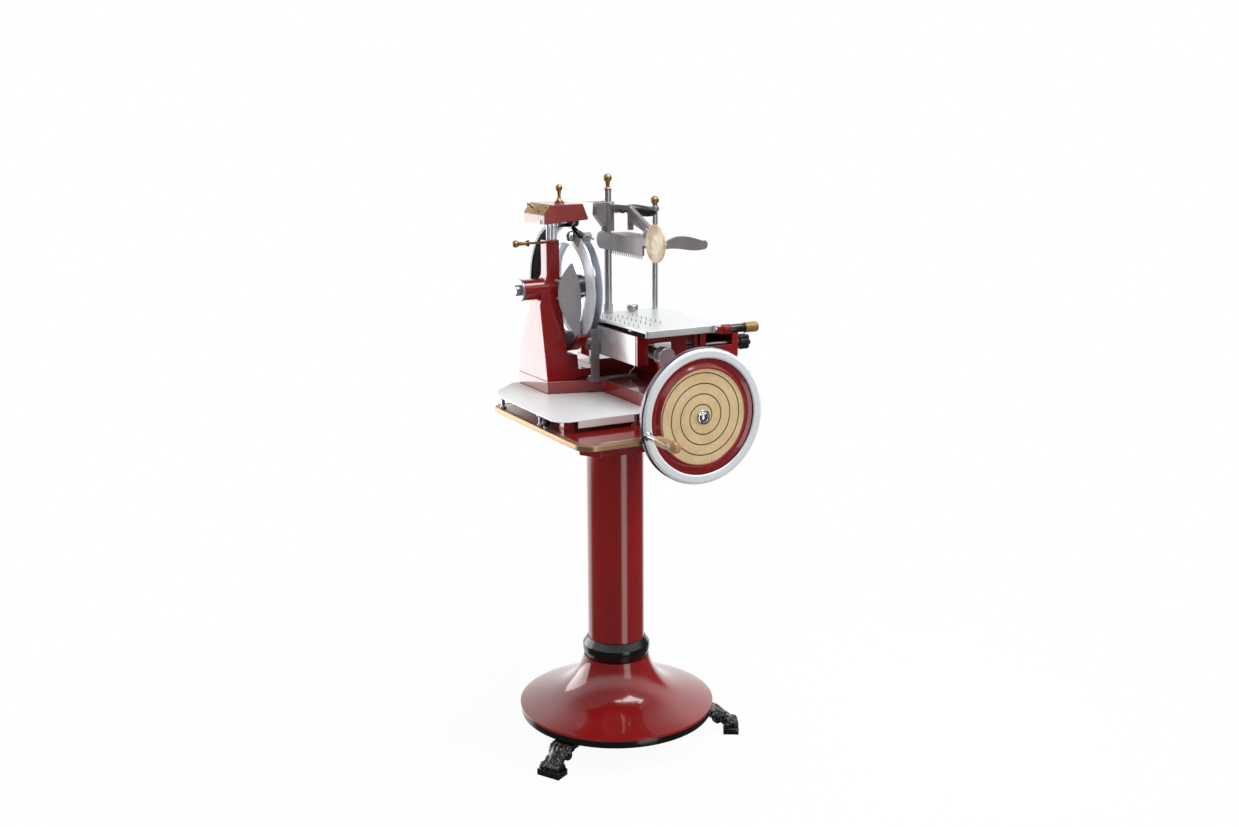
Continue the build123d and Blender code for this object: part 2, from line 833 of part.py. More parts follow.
def deflector_stud_heights():
    return blade_z - 24, blade_z + 22


def deflector_stud_x():
    return deflector_x + 10


def deflector_stud_front():
    reach = (deflector_stud_x() - deflector_x) / math.cos(math.radians(deflector_turn))
    return deflector_y + reach * math.sin(math.radians(deflector_turn))


def slice_deflector():
    top, low, wide = deflector_top, deflector_bottom, deflector_width
    middle = blade_z - 5
    left = ThreePointArc((wide * 0.62, top), (0, middle + 10), (wide * 0.2, low + 64))
    foot = Line((wide * 0.2, low + 64), (wide * 0.8, low))
    lobe = Polyline((wide * 0.8, low), (wide, low + 14), (wide * 0.95, low + 48))
    right = ThreePointArc((wide * 0.95, low + 48), (wide, middle), (wide * 0.62, top))
    face = Plane.XZ * make_face([left, foot, *lobe.edges(), right])
    place = Pos(deflector_x, deflector_y, 0) * Rot(0, 0, deflector_turn)
    sheet = place * extrude(face, -deflector_thickness)
    for z in deflector_stud_heights():
        sheet += rod_y(deflector_stud_x(), (deflector_stud_front(), stud_seat_y), z, deflector_stud_radius)
    return sheet


def guard_bracket():
    x = (bracket_left, bracket_left + bracket_width)
    y = (bracket_front, bracket_front + bracket_thickness)
    bar = block(x, y, (casting_top, casting_top + bracket_height))
    foot = block((bracket_left, bracket_foot_right), (bracket_front, bracket_front + bracket_foot_depth),
                 (casting_top, casting_top + bracket_thickness))
    return bar + foot


def machine_screws():
    top = casting_top + bracket_thickness
    middle = bracket_front + bracket_foot_depth / 2
    screws = [rod_z(x, middle, (top, top + 2), 6) for x in (104, 138)]
    screws.append(rod_z(56, tower_front - 8, (casting_top, casting_top + 10), 7))
    return Compound(screws)


def bracket_lever():
    low = casting_top + bracket_thickness + slide_gap
    middle = bracket_front + bracket_foot_depth / 2
    hub = rod_z(bracket_lever_x, middle, (low, low + 9), 4.5)
    return hub + Pos(bracket_lever_x + 13, middle, low + 16) * Rot(0, 55, 0) * Cylinder(2.5, 34)


# ---- sharpener

def hood_profile(inset):
    return [(hood_left + inset, hood_bottom), (hood_left + inset, hood_shoulder),
            (hood_top_left + inset * 0.6, hood_top - inset),
            (hood_top_right - inset * 0.7, hood_top - inset),
            (hood_right - inset, hood_right_bottom + 6), (hood_right - inset, hood_right_bottom),
            (hood_right - inset - 1, hood_right_bottom)]


def sharpener_hood():
    shell = front(hood_profile(0), (hood_front, hood_back))
    inside = hood_profile(hood_wall)
    inside[0] = (inside[0][0], hood_bottom - 60)
    inside[-2] = (inside[-2][0], hood_bottom - 60)
    inside[-1] = (inside[-1][0] - 1, hood_bottom - 60)
    shell -= front(inside, (hood_front + hood_wall, hood_back - hood_wall))
    shell += rod_z(finial_x, blade_y, (hood_top - 1, hood_top + 5), 14)
    carrier = (carrier_bottom, carrier_bottom + carrier_height)
    shell += block((-38, 12), (guide_rod_y - 13, hood_back - 1), carrier)
    for i in range(3):
        x = guide_rod_x + guide_rod_pitch * i
        shell -= rod_z(x, guide_rod_y, (carrier[0] - 1, carrier[1] + 1), guide_rod_radius + running_gap)
    return shell - rod_z(finial_x, blade_y, (hood_top - 10, hood_top + 6), finial_stem)


def hood_plate():
    slope = math.atan2(hood_top - hood_shoulder, hood_top_left - hood_left)
    length = math.hypot(hood_top - hood_shoulder, hood_top_left - hood_left)
    sheet = Box(length - 2, hood_back - hood_front - 4, hood_plate_thickness)
    place = Pos((hood_left + hood_top_left) / 2, (hood_front + hood_back) / 2,
                (hood_shoulder + hood_top) / 2)
    turn = Rot(0, -math.degrees(slope), 0)
    lift = Pos(0, 0, hood_plate_thickness / 2)
    plate = place * turn * lift * sheet
    return plate + place * turn * Pos(4, 36, 6) * Cylinder(4, 12)


def sharpener_rods():
    rods = []
    for i in range(3):
        rods.append(rod_z(guide_rod_x + guide_rod_pitch * i, guide_rod_y,
                          (post_top - guide_rod_sink, guide_rod_top), guide_rod_radius))
    return Compound(rods)


def stone_places():
    return stone_x - stone_arm_spacing / 2, stone_x + stone_arm_spacing / 2


def sharpener_arms():
    low = carrier_bottom + 6
    right = stone_x + stone_arm_spacing / 2 + stone_arm_width / 2
    arm = block((12, right), (blade_y - 7, blade_y + 7), (low, low + 10))
    for x in stone_places():
        arm += block((x - stone_arm_width / 2, x + stone_arm_width / 2), (blade_y - 7, blade_y + 7),
                     (stone_z - 6, low + 1))
        arm -= rod_x((x - stone_arm_width, x + stone_arm_width), blade_y, stone_z, stone_axle + running_gap)
    return arm


def sharpening_stone(x, turn):
    near = x + turn * (stone_arm_width / 2 + slide_gap)
    wheel = rod_x(sorted((near, near + turn * stone_width)), blade_y, stone_z, stone_radius)
    return wheel + rod_x(sorted((x - turn * stone_arm_width / 2, near + turn)), blade_y, stone_z, stone_axle)


def grinding_stone():
    return sharpening_stone(stone_places()[0], -1)


def deburring_stone():
    return sharpening_stone(stone_places()[1], 1)


def hood_finial():
    return Pos(finial_x, blade_y, hood_top + 5 + slide_gap) * baluster(43, 9.5, 12)


def tower_lock_screw():
    knob = Pos(lock_knob_x, lock_y, lock_z) * Rot(0, -90, 0) * baluster(45, 9.5, 0)
    return knob + rod_x((lock_knob_x - 1, post_left + 12), lock_y, lock_z, lock_rod_radius)


# ---- flywheel, crank and drive

def flywheel_rim():
    front_y = wheel_face_y - wheel_rim_proud
    back = front_y + wheel_rim_depth
    inner = wheel_radius - wheel_rim_width
    outer = wheel_radius
    return turned_y([(inner, front_y + 3), (inner + 4, front_y), (outer - 8, front_y),
                     (outer - 2, front_y + 4), (outer, front_y + 10), (outer, back - 6),
                     (outer - 5, back), (inner, back)],
                    wheel_x, wheel_z)


def flywheel_disc():
    face = wheel_face_y + wheel_face_thickness
    back = face + wheel_web
    inner = wheel_radius - wheel_rim_width
    bowl = wheel_face_radius + 3
    hub_back = casting_front - boss_length - slide_gap * 2
    return turned_y([(drive_shaft_radius, face), (wheel_face_radius, face), (wheel_face_radius, face - 4),
                     (bowl, face - 5), (bowl + 10, face + 3), (inner, face), (inner, back + 8),
                     (bowl, back + 3), (44, back), (38, hub_back), (drive_shaft_radius, hub_back)],
                    wheel_x, wheel_z)


def flywheel_face():
    y = (wheel_face_y, wheel_face_y + wheel_face_thickness)
    plate = rod_y(wheel_x, y, wheel_z, wheel_face_radius - 0.2)
    return plate - rod_y(wheel_x, y, wheel_z, drive_shaft_radius)


def flywheel_cap():
    tip = wheel_face_y - wheel_cap_height
    return turned_y([(0, tip), (9, tip), (wheel_cap_radius, wheel_face_y - 3),
                     (wheel_cap_radius, wheel_face_y), (0, wheel_face_y)], wheel_x, wheel_z)


def drive_shaft():
    gear = bevel_gear(gear_radius, pinion_radius, gear_teeth, drive_shaft_radius)
    gear = Pos(wheel_x, blade_y, wheel_z) * Rot(-90, 0, 0) * gear
    return Compound([rod_y(wheel_x, (wheel_face_y, gear_back_y - 1), wheel_z, drive_shaft_radius), gear])


def cross_shaft():
    pinion = bevel_gear(pinion_radius, gear_radius, pinion_teeth, cross_shaft_radius)
    pinion = Pos(wheel_x, blade_y, cross_z) * Rot(0, 90, 0) * Rot(0, 0, 180 / pinion_teeth) * pinion
    cone = math.hypot(gear_radius, pinion_radius)
    tip = wheel_x - gear_radius * (cone - gear_face) / cone
    return pinion + rod_x((chain_x - 8, tip), blade_y, cross_z, cross_shaft_radius)


def crank_place():
    turn = math.radians(crank_angle)
    return wheel_x + crank_reach * math.cos(turn), wheel_z + crank_reach * math.sin(turn)


def crank_pin():
    x, z = crank_place()
    rim = wheel_face_y - wheel_rim_proud
    tip = rim - crank_pin_length
    ferrule = turned_y([(0, tip), (crank_pin_radius - 1, tip), (crank_pin_radius, tip + 8),
                        (crank_pin_radius - 2, rim - 8), (crank_pin_radius + 3, rim), (0, rim)], x, z)
    return ferrule + rod_y(x, (tip - grip_length + 12, tip), z, 5)


def crank_grip():
    x, z = crank_place()
    start = wheel_face_y - wheel_rim_proud - crank_pin_length - slide_gap
    end = start - grip_length
    bore = 5 + running_gap
    lower = Polyline((bore, start), (grip_radius * 0.66, start)).edges()
    swell = Spline((grip_radius * 0.66, start), (grip_radius * 0.78, start - 30),
                   (grip_radius, end + 22), (grip_radius * 0.72, end + 3), (grip_radius * 0.3, end))
    close = Polyline((grip_radius * 0.3, end), (0, end), (0, end + 8), (bore, end + 8),
                     (bore, start)).edges()
    face = Plane.XZ * make_face([*lower, swell, *close])
    return Pos(x, 0, z) * Rot(-90, 0, 0) * revolve(face, Axis.Z)


# ---- carriage

def guide_bar():
    bar = rod_y(guide_bar_x, (guide_bar_front, guide_bar_back), guide_bar_z, guide_bar_radius)
    bar += rod_y(guide_bar_x, (guide_bar_front, pillar_front), guide_bar_z, collar_radius_bar)
    sleeve = (pillar_front + pillar_length, pillar_front + pillar_length + collar_length)
    return bar + rod_y(guide_bar_x, sleeve, guide_bar_z, collar_radius_bar)


def carriage_body():
    wall = carriage_wall
    x = (carriage_left, carriage_right)
    y = (carriage_front, carriage_back)
    z = (carriage_bottom, carriage_top)
    body = block(x, y, z)
    body -= block((x[0] + wall, x[1] - wall), (y[0] + wall, y[1] - wall), (z[0], z[1] - wall))
    opening_x = (guide_bar_x - opening_side, guide_bar_x + opening_side)
    body -= block(opening_x, (y[0] - 1, y[1] + 1), (z[0], opening_top))
    skid_x = (rail_right - rail_width + 2, rail_right - 2)
    body += block(skid_x, (y[0] + 1, y[1] - 1), (carriage_bottom - rail_gap + slide_gap, z[1] - wall + 1))
    for start in (front_eye_y, rear_eye_y):
        span = (start, start + eye_length)
        body += rod_y(guide_bar_x, span, guide_bar_z, eye_radius)
        body += block((guide_bar_x - eye_web / 2, guide_bar_x + eye_web / 2), span,
                      (guide_bar_z, z[1] - wall + 1))
        body -= rod_y(guide_bar_x, (span[0] - 1, span[1] + 1), guide_bar_z, guide_bar_radius + running_gap)
    body -= block((feed_slot_left, feed_slot_right), (y[0] - 1, y[0] + wall + 1),
                  (feed_slot_bottom, feed_slot_top))
    trough = (feed_screw_y - feed_nut_depth / 2 - 3, feed_screw_y + feed_nut_depth / 2 + 3)
    body -= block((feed_slot_left, feed_slot_right), trough, (z[1] - wall - 1, z[1] + 1))
    body += block((feed_screw_left - 6, feed_screw_left + 4), (y[0] + 1, feed_screw_y + 12),
                  (feed_screw_z - 12, z[1] - 1))
    return body - rod_x((feed_screw_left - 4, x[1] + 1), feed_screw_y, feed_screw_z,
                        feed_screw_radius + running_gap)


def side_panel():
    x = (carriage_left - panel_thickness, carriage_left)
    sheet = block(x, (panel_front, panel_back), (carriage_bottom, carriage_top - 1))
    return sheet


def feed_screw():
    tip = feed_knob_start + feed_knob_width
    screw = rod_x((feed_screw_left - 3, tip - 3), feed_screw_y, feed_screw_z, feed_screw_radius)
    return screw + rod_x((carriage_right + slide_gap, feed_knob_start), feed_screw_y, feed_screw_z,
                         feed_screw_radius + 3)


def feed_knob():
    x = (feed_knob_start, feed_knob_start + feed_knob_width)
    knob = rod_x(x, feed_screw_y, feed_screw_z, feed_knob_radius)
    lobes = 6
    for i in range(lobes):
        angle = math.radians(360 / lobes * (i + 0.5))
        knob -= rod_x(x, feed_screw_y + (feed_knob_radius + 3) * math.cos(angle),
                      feed_screw_z + (feed_knob_radius + 3) * math.sin(angle), 7)
    return knob - rod_x(x, feed_screw_y, feed_screw_z, feed_screw_radius)


# ---- table

def table_plate():
    x = (table_left, table_right)
    y = (table_front, table_back)
    under = table_top - table_thickness
    low = table_top - table_skirt
    plate = round_plate(x, y, (low, table_top), 7)
    plate -= block((x[0] + table_skirt_wall, x[1] - table_skirt_wall),
                   (y[0] + table_skirt_wall, y[1] - table_skirt_wall), (low, under))
    plate -= block((x[0] - 1, x[0] + table_skirt_wall + 1), (y[0] + 8, y[1] + 1), (low - 1, under - 3))
    for rib in (60, 215):
        plate += block((x[0] + 14, x[1] - 12), (rib, rib + 20), (carriage_top + slide_gap, under + 1))
    for post_x in (post_1_x, post_2_x):
        plate -= rod_z(post_x, posts_y, (low, table_top), post_stud_radius)
    return plate - rod_z(thumb_nut_x, posts_y, (low, table_top), 4 + running_gap)


def table_spikes():
    spikes = []
    for x, start, count in zip(spike_row_x, spike_row_y, spike_row_count):
        for i in range(count):
            spikes.append(Pos(x, start + spike_pitch * i, table_top + spike_height / 2)
                          * Cone(spike_radius, 0.4, spike_height))
    return Compound(spikes)


def guide_posts():
    low = table_top - table_thickness
    post_1 = rod_z(post_1_x, posts_y, (table_top, post_1_top), post_1_radius)
    post_1 += rod_z(post_1_x, posts_y, (table_top, table_top + post_collar_height), post_collar_radius)
    post_1 += rod_z(post_1_x, posts_y, (low, table_top), post_stud_radius)
    post_2 = rod_z(post_2_x, posts_y, (table_top, post_2_top), post_2_radius)
    post_2 += rod_z(post_2_x, posts_y, (low, table_top), post_stud_radius)
    return Compound([post_1, post_2])


def post_finials():
    tall = Pos(post_1_x, posts_y, post_1_top) * baluster(42, 11.5, 0)
    ball = Pos(post_2_x, posts_y, post_2_top + 12) * Sphere(11.5)
    short = rod_z(post_2_x, posts_y, (post_2_top, post_2_top + 4), 7)
    return Compound([tall, short + ball])


def thumb_nut():
    low = table_top + slide_gap
    nut = rod_z(thumb_nut_x, posts_y, (low + 3, low + thumb_nut_height), thumb_nut_radius)
    nut += rod_z(thumb_nut_x, posts_y, (low, low + 4), 9)
    return nut + rod_z(thumb_nut_x, posts_y, (table_top - table_thickness - 2, low), 4)


def feed_bracket():
    nut_x = (feed_nut_x - feed_nut_width / 2, feed_nut_x + feed_nut_width / 2)
    nut_y = (feed_screw_y - feed_nut_depth / 2, feed_screw_y + feed_nut_depth / 2)
    under = table_top - table_thickness
    nut = block(nut_x, nut_y, (feed_screw_z - 10, under))
    nut -= rod_x((nut_x[0] - 1, nut_x[1] + 1), feed_screw_y, feed_screw_z, feed_screw_radius + running_gap)
    lug_x = (handle_left + 4, handle_left + 20)
    lug = block(lug_x, (handle_y - 9, table_front), (handle_z - 9, handle_z + 9))
    lug += rod_x(lug_x, handle_y, handle_z, 9)
    lug -= rod_x((lug_x[0] - 1, lug_x[1] + 1), handle_y, handle_z, handle_rod_radius + running_gap)
    return Compound([nut, lug])


def feed_handle():
    start = handle_left + 20 + slide_gap
    handle = rod_x((handle_left + 2, start + 1), handle_y, handle_z, handle_rod_radius)
    handle += rod_x((handle_left - 2, handle_left + 4 - slide_gap), handle_y, handle_z, 8)
    handle += rod_x((start, start + 24), handle_y, handle_z, handle_radius - 1)
    handle += rod_x((start + 24, start + 66), handle_y, handle_z, handle_radius - 2.5)
    return handle + rod_x((start + 66, start + 104), handle_y, handle_z, handle_radius)


# ---- meat clamp

def clamp_arm():
    x = (arm_front_x - arm_width / 2, arm_front_x + arm_width / 2)
    shoulder_y = posts_y - sleeve_radius
    bar = plan([(post_1_x - 4, shoulder_y + 5), (post_1_x + 9, shoulder_y + 6), (x[1], arm_front_y),
                (x[0], arm_front_y)], (sleeve_top - 18, sleeve_top - 6))
    bar += block(x, (arm_front_y - 8, arm_front_y + 6), (sleeve_bottom + 8, sleeve_top - 6))
    web = [(arm_front_y - 2, sleeve_top - 8), (presser_pin_y, presser_pin_z + 14),
           (presser_pin_y, presser_pin_z - 8), (arm_front_y - 2, sleeve_bottom + 30)]
    bar += side(web, x)
    bar += rod_x(x, presser_pin_y, presser_pin_z + 3, 11)
    return bar - rod_x((x[0] - 1, x[1] + 1), presser_pin_y, presser_pin_z, presser_pin_radius + running_gap)


def clamp_sleeve():
    sleeve = rod_z(post_1_x, posts_y, (sleeve_bottom, sleeve_top), sleeve_radius)
    lobe = [(post_1_x - 14, sleeve_top), (post_1_x - 38, sleeve_top - 2), (post_1_x - 40, sleeve_top - 34),
            (post_1_x - 16, sleeve_bottom + 12), (post_1_x, sleeve_bottom + 20), (post_1_x, sleeve_top)]
    sleeve += front(lobe, (posts_y - 12, posts_y + 12))
    link = (link_bottom, link_bottom + link_height)
    sleeve += block((post_1_x, post_2_x), (posts_y - link_depth / 2, posts_y + link_depth / 2), link)
    sleeve += rod_z(post_2_x, posts_y, link, link_eye_radius)
    sleeve += rod_y(cam_x, (cam_y + 8, posts_y), cam_z - 8, 7)
    sleeve += clamp_arm()
    sleeve -= rod_z(post_1_x, posts_y, (sleeve_bottom - 1, sleeve_top + 1), post_1_radius + running_gap)
    sleeve -= rod_z(post_2_x, posts_y, (link[0] - 1, link[1] + 1), post_2_radius + running_gap)
    return sleeve - rod_y(cam_x, (cam_y, cam_y + 22), cam_z - 8, cam_pin_radius + running_gap)


def presser_plate():
    """The plate that leans on the meat with its comb, and the deck behind it that hangs on the arm's pin."""
    x = (presser_x, presser_x + presser_thickness)
    slab = block(x, (presser_front, presser_back - 20), (presser_bottom, presser_top))
    middle = (presser_bottom + presser_top) / 2
    slab += rod_x(x, presser_back - 22, middle, (presser_top - presser_bottom) / 2)
    slab += block((x[0], x[0] + 12), (disc_y, presser_front), (presser_bottom + 26, presser_top))
    pitch = (presser_back - 70 - presser_front) / comb_teeth
    for i in range(comb_teeth):
        y = presser_front + 6 + pitch * i
        tooth = [(y, presser_bottom + 1), (y + 5, presser_bottom + 1), (y + 3, presser_bottom - comb_depth),
                 (y + 2, presser_bottom - comb_depth)]
        slab += side(tooth, (x[0] + 2, x[1] - 2))
    deck_y = (presser_front, presser_back - 62)
    deck = block((x[1], presser_deck_right), deck_y, (presser_top - 4, presser_top))
    deck += block((presser_deck_right - 4, presser_deck_right), deck_y, (presser_bottom + 8, presser_top))
    gap = arm_width / 2 + slide_gap
    for ear in ((arm_front_x - gap - 6, arm_front_x - gap), (arm_front_x + gap, arm_front_x + gap + 6)):
        deck += block(ear, (presser_pin_y - 9, presser_pin_y + 9), (presser_top - 2, presser_pin_z))
        deck += rod_x(ear, presser_pin_y, presser_pin_z, 9)
    deck += rod_x((arm_front_x - gap - 3, arm_front_x + gap + 3), presser_pin_y, presser_pin_z,
                  presser_pin_radius)
    return Compound([slab, deck])


def clamp_disc():
    disc = rod_x((disc_x, disc_x + disc_thickness), disc_y, disc_z, disc_radius)
    return disc + rod_x((disc_x + disc_thickness - 1, presser_x), disc_y, disc_z - 6, 8)


def clamp_lever():
    start = presser_x + 12 + slide_gap
    tail = start + 8
    tip = tail + lever_length
    hub_z = disc_z - 6
    rise = hub_z + lever_width * 0.6
    drop = hub_z - lever_width * 0.4
    upper = Spline((tail, hub_z + 9), (tail + 34, rise), (tail + 70, rise - 3), (tip - 15, hub_z + 8))
    blunt = ThreePointArc((tip - 15, hub_z + 8), (tip, hub_z - 4), (tip - 13, drop))
    lower = Spline((tip - 13, drop), (tail + 70, drop), (tail + 22, hub_z - 8), (tail, hub_z - 9))
    root = Line((tail, hub_z - 9), (tail, hub_z + 9))
    face = Plane.XZ * make_face([upper, blunt, lower, root])
    leaf = Pos(0, disc_y + lever_thickness / 2, 0) * extrude(face, lever_thickness)
    return leaf + rod_x((start, tail + 4), disc_y, hub_z, 6)


def cam_lever():
    hub_z = cam_z - 8
    hub = rod_y(cam_x, (cam_y - 6, cam_y + 8 - slide_gap), hub_z, 8)
    hub += rod_y(cam_x, (cam_y, cam_y + 20), hub_z, cam_pin_radius)
    upper = Spline((0, 0), (cam_length * 0.18, cam_radius * 0.72), (cam_length * 0.55, cam_radius),
                   (cam_length * 0.88, cam_radius * 0.62), (cam_length, 0))
    handle = revolve(make_face([upper, Line((cam_length, 0), (0, 0))]), Axis.X)
    return hub + Pos(cam_x - 4, cam_y, hub_z + 6) * Rot(0, 9, 0) * handle


bodies = {
    "pedestal_feet": pedestal_feet,
    "pedestal_foot_ring": pedestal_foot_ring,
    "pedestal_base": pedestal_base,
    "pedestal_collar": pedestal_collar,
    "pedestal_column": pedestal_column,
    "pedestal_head": pedestal_head,
    "base_plate": base_plate,
    "base_plate_trim": base_plate_trim,
    "base_casting": base_casting,
    "slice_tray": slice_tray,
    "tray_feet": tray_feet,
    "blade_tower": blade_tower,
    "hub_ring": hub_ring,
    "ring_guard": ring_guard,
    "inner_guard": inner_guard,
    "guard_clamp": guard_clamp,
    "guard_lock_knob": guard_lock_knob,
    "slice_deflector": slice_deflector,
    "guard_bracket": guard_bracket,
    "machine_screws": machine_screws,
    "bracket_lever": bracket_lever,
    "sharpener_rods": sharpener_rods,
    "shaft_bearings": shaft_bearings,
    "drive_chain": drive_chain,
    "guide_bar": guide_bar,
    "blade": blade,
    "blade_shaft": blade_shaft,
    "blade_sprocket": blade_sprocket,
    "sharpener_hood": sharpener_hood,
    "hood_plate": hood_plate,
    "sharpener_arms": sharpener_arms,
    "grinding_stone": grinding_stone,
    "deburring_stone": deburring_stone,
    "hood_finial": hood_finial,
    "tower_lock_screw": tower_lock_screw,
    "flywheel_rim": flywheel_rim,
    "flywheel_disc": flywheel_disc,
    "flywheel_face": flywheel_face,
    "flywheel_cap": flywheel_cap,
    "drive_shaft": drive_shaft,
    "crank_pin": crank_pin,
    "crank_grip": crank_grip,
    "cross_shaft": cross_shaft,
    "cross_sprocket": cross_sprocket,
    "carriage_body": carriage_body,
    "side_panel": side_panel,
    "feed_screw": feed_screw,
    "feed_knob": feed_knob,
    "table_plate": table_plate,
    "table_spikes": table_spikes,
    "guide_posts": guide_posts,
    "post_finials": post_finials,
    "thumb_nut": thumb_nut,
    "feed_bracket": feed_bracket,
    "feed_handle": feed_handle,
    "clamp_sleeve": clamp_sleeve,
    "presser_plate": presser_plate,
    "clamp_disc": clamp_disc,
    "clamp_lever": clamp_lever,
    "cam_lever": cam_lever,
}

to_middle = Pos(-middle_x, -middle_y, 0)
os.makedirs("parts", exist_ok=True)
for name, make in bodies.items():
    export_step(to_middle * make(), f"parts/{name}.step")
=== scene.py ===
import json
import math

import bpy
from mathutils import Matrix, Vector

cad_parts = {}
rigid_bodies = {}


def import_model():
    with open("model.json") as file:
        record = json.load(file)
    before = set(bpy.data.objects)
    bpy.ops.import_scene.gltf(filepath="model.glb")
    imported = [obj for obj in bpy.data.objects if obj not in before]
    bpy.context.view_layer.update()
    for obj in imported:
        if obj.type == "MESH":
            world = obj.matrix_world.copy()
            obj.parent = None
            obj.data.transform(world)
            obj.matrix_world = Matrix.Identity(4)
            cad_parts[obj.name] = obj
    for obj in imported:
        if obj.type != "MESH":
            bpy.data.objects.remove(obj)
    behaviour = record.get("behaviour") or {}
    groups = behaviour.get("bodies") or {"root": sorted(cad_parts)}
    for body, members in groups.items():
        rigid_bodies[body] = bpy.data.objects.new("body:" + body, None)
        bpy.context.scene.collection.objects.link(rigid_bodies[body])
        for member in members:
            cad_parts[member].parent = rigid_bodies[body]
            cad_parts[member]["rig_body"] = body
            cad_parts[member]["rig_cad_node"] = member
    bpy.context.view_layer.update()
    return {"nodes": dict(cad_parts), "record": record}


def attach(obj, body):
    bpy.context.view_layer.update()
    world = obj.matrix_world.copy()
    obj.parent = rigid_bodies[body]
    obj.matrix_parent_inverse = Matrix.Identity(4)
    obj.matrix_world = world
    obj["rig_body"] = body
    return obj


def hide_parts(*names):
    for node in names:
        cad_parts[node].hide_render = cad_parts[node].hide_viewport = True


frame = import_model()
nodes = frame["nodes"]
bodyOf = {node: body for body, members in frame["record"]["behaviour"]["bodies"].items() for node in members}
print("frame loaded:", len(nodes), "nodes")

# Places below are millimetres from the axis of the column, as on the drawing of the machine.
columnAxis = Vector((-0.05455, -0.0691, 0))


def at(x, y, z):
    return Vector((x, y, z)) / 1000 + columnAxis


# The camera stands where the photographer stood.
cameraSettings = {
    "place": (-1568.5, -2959.7, 1606.1),
    "lens": 40.054,
    "pitch": 12.7555,
    "turn": -28.1174,
    "roll": -0.3005,
}
camera = bpy.data.objects.new("camera", bpy.data.cameras.new("camera"))
bpy.context.scene.collection.objects.link(camera)
camera.data.sensor_width = 36
camera.data.lens = cameraSettings["lens"]
camera.data.clip_end = 50
aim = (Matrix.Rotation(math.radians(cameraSettings["turn"]), 4, "Z")
       @ Matrix.Rotation(math.radians(90 - cameraSettings["pitch"]), 4, "X")
       @ Matrix.Rotation(math.radians(cameraSettings["roll"]), 4, "Z"))
camera.matrix_world = Matrix.Translation(at(*cameraSettings["place"])) @ aim
bpy.context.scene.camera = camera
bpy.context.scene.view_settings.view_transform = "Standard"


# Shader maths: a socket that works in plain arithmetic, and a maker of nodes.

class Shade:
    def __init__(self, finish, socket):
        self.finish = finish
        self.socket = socket

    def maths(self, operation, first, second=0.0):
        return self.finish.node("ShaderNodeMath", {"operation": operation}, {0: first, 1: second})

    def __add__(self, other):
        return self.maths("ADD", self, other)

    def __radd__(self, other):
        return self.maths("ADD", other, self)

    def __sub__(self, other):
        return self.maths("SUBTRACT", self, other)

    def __rsub__(self, other):
        return self.maths("SUBTRACT", other, self)

    def __mul__(self, other):
        return self.maths("MULTIPLY", self, other)

    def __truediv__(self, other):
        return self.maths("DIVIDE", self, other)

    def __pow__(self, other):
        return self.maths("POWER", self, other)

    def __gt__(self, other):
        return self.maths("GREATER_THAN", self, other)

    def __lt__(self, other):
        return self.maths("LESS_THAN", self, other)

    def ramp(self, low, high, start=0.0, end=1.0):
        return self.finish.node("ShaderNodeMapRange", {"interpolation_type": "SMOOTHSTEP"},
                                {"Value": self, "From Min": low, "From Max": high,
                                 "To Min": start, "To Max": end})


class Finish:
    def __init__(self, tree):
        self.tree = tree
        self.tree.nodes.clear()

    def node(self, kind, settings=None, values=None, output=0):
        made = self.tree.nodes.new(kind)
        for key, value in (settings or {}).items():
            setattr(made, key, value)
        for key, value in (values or {}).items():
            if isinstance(value, Shade):
                self.tree.links.new(value.socket, made.inputs[key])
            elif value is not None:
                made.inputs[key].default_value = value
        return Shade(self, made.outputs[output]) if made.outputs else None

    def place(self, scale=(1, 1, 1), turn=(0, 0, 0), centre=(0, 0, 0)):
        spot = self.node("ShaderNodeTexCoord", output=3)
        return self.node("ShaderNodeMapping", {"vector_type": "TEXTURE"},
                         {"Vector": spot, "Location": centre, "Rotation": turn,
                          "Scale": tuple(1 / value for value in scale)})

    def noise(self, spot, scale, detail=3.0, roughness=0.5):
        return self.node("ShaderNodeTexNoise", None,
                         {"Vector": spot, "Scale": scale, "Detail": detail, "Roughness": roughness})

    def mix(self, share, first, second):
        return self.node("ShaderNodeMix", {"data_type": "RGBA"}, {0: share, 6: first, 7: second}, output=2)

    def bump(self, height, strength, depth=0.001):
        return self.node("ShaderNodeBump", None, {"Height": height, "Strength": strength, "Distance": depth})


def colour(red, green, blue):
    linear = [value / 12.92 if value <= 0.04045 else ((value + 0.055) / 1.055) ** 2.4
              for value in (red / 255, green / 255, blue / 255)]
    return (*linear, 1.0)


studio = {
    "white": 1.0,
    "ambient": 0.27,
    "frontDark": 0.08,
    "frontWay": (-0.233, -0.972, 0.0),
    "frontSides": (-0.7, -0.52),
    "frontHeight": (0.28, 0.52),
    "zenith": 0.3,
    "zenithHeight": (0.6, 0.85),
    "strip": {
        "place": (330, -2750, 350), "size": (1.0, 2.8), "power": 15,
        "aim": (0, 0, 800), "mirrored": True,
    },
    "key": {
        "place": (2750, -1200, 1900), "size": (1.6, 2.0), "power": 62,
        "aim": (0, 0, 800), "mirrored": False,
    },
    "top": {
        "place": (500, -500, 3000), "size": (1.4, 1.4), "power": 42,
        "aim": (0, 0, 700), "mirrored": True,
    },
    "back": {
        "place": (-1700, 2500, 900), "size": (2.6, 1.8), "power": 40,
        "aim": (0, 0, 700), "mirrored": True,
    },
    "tower": {
        "place": (-3200, 300, 1500), "size": (1.6, 2.0), "power": 20,
        "aim": (0, 0, 900), "mirrored": False,
    },
}

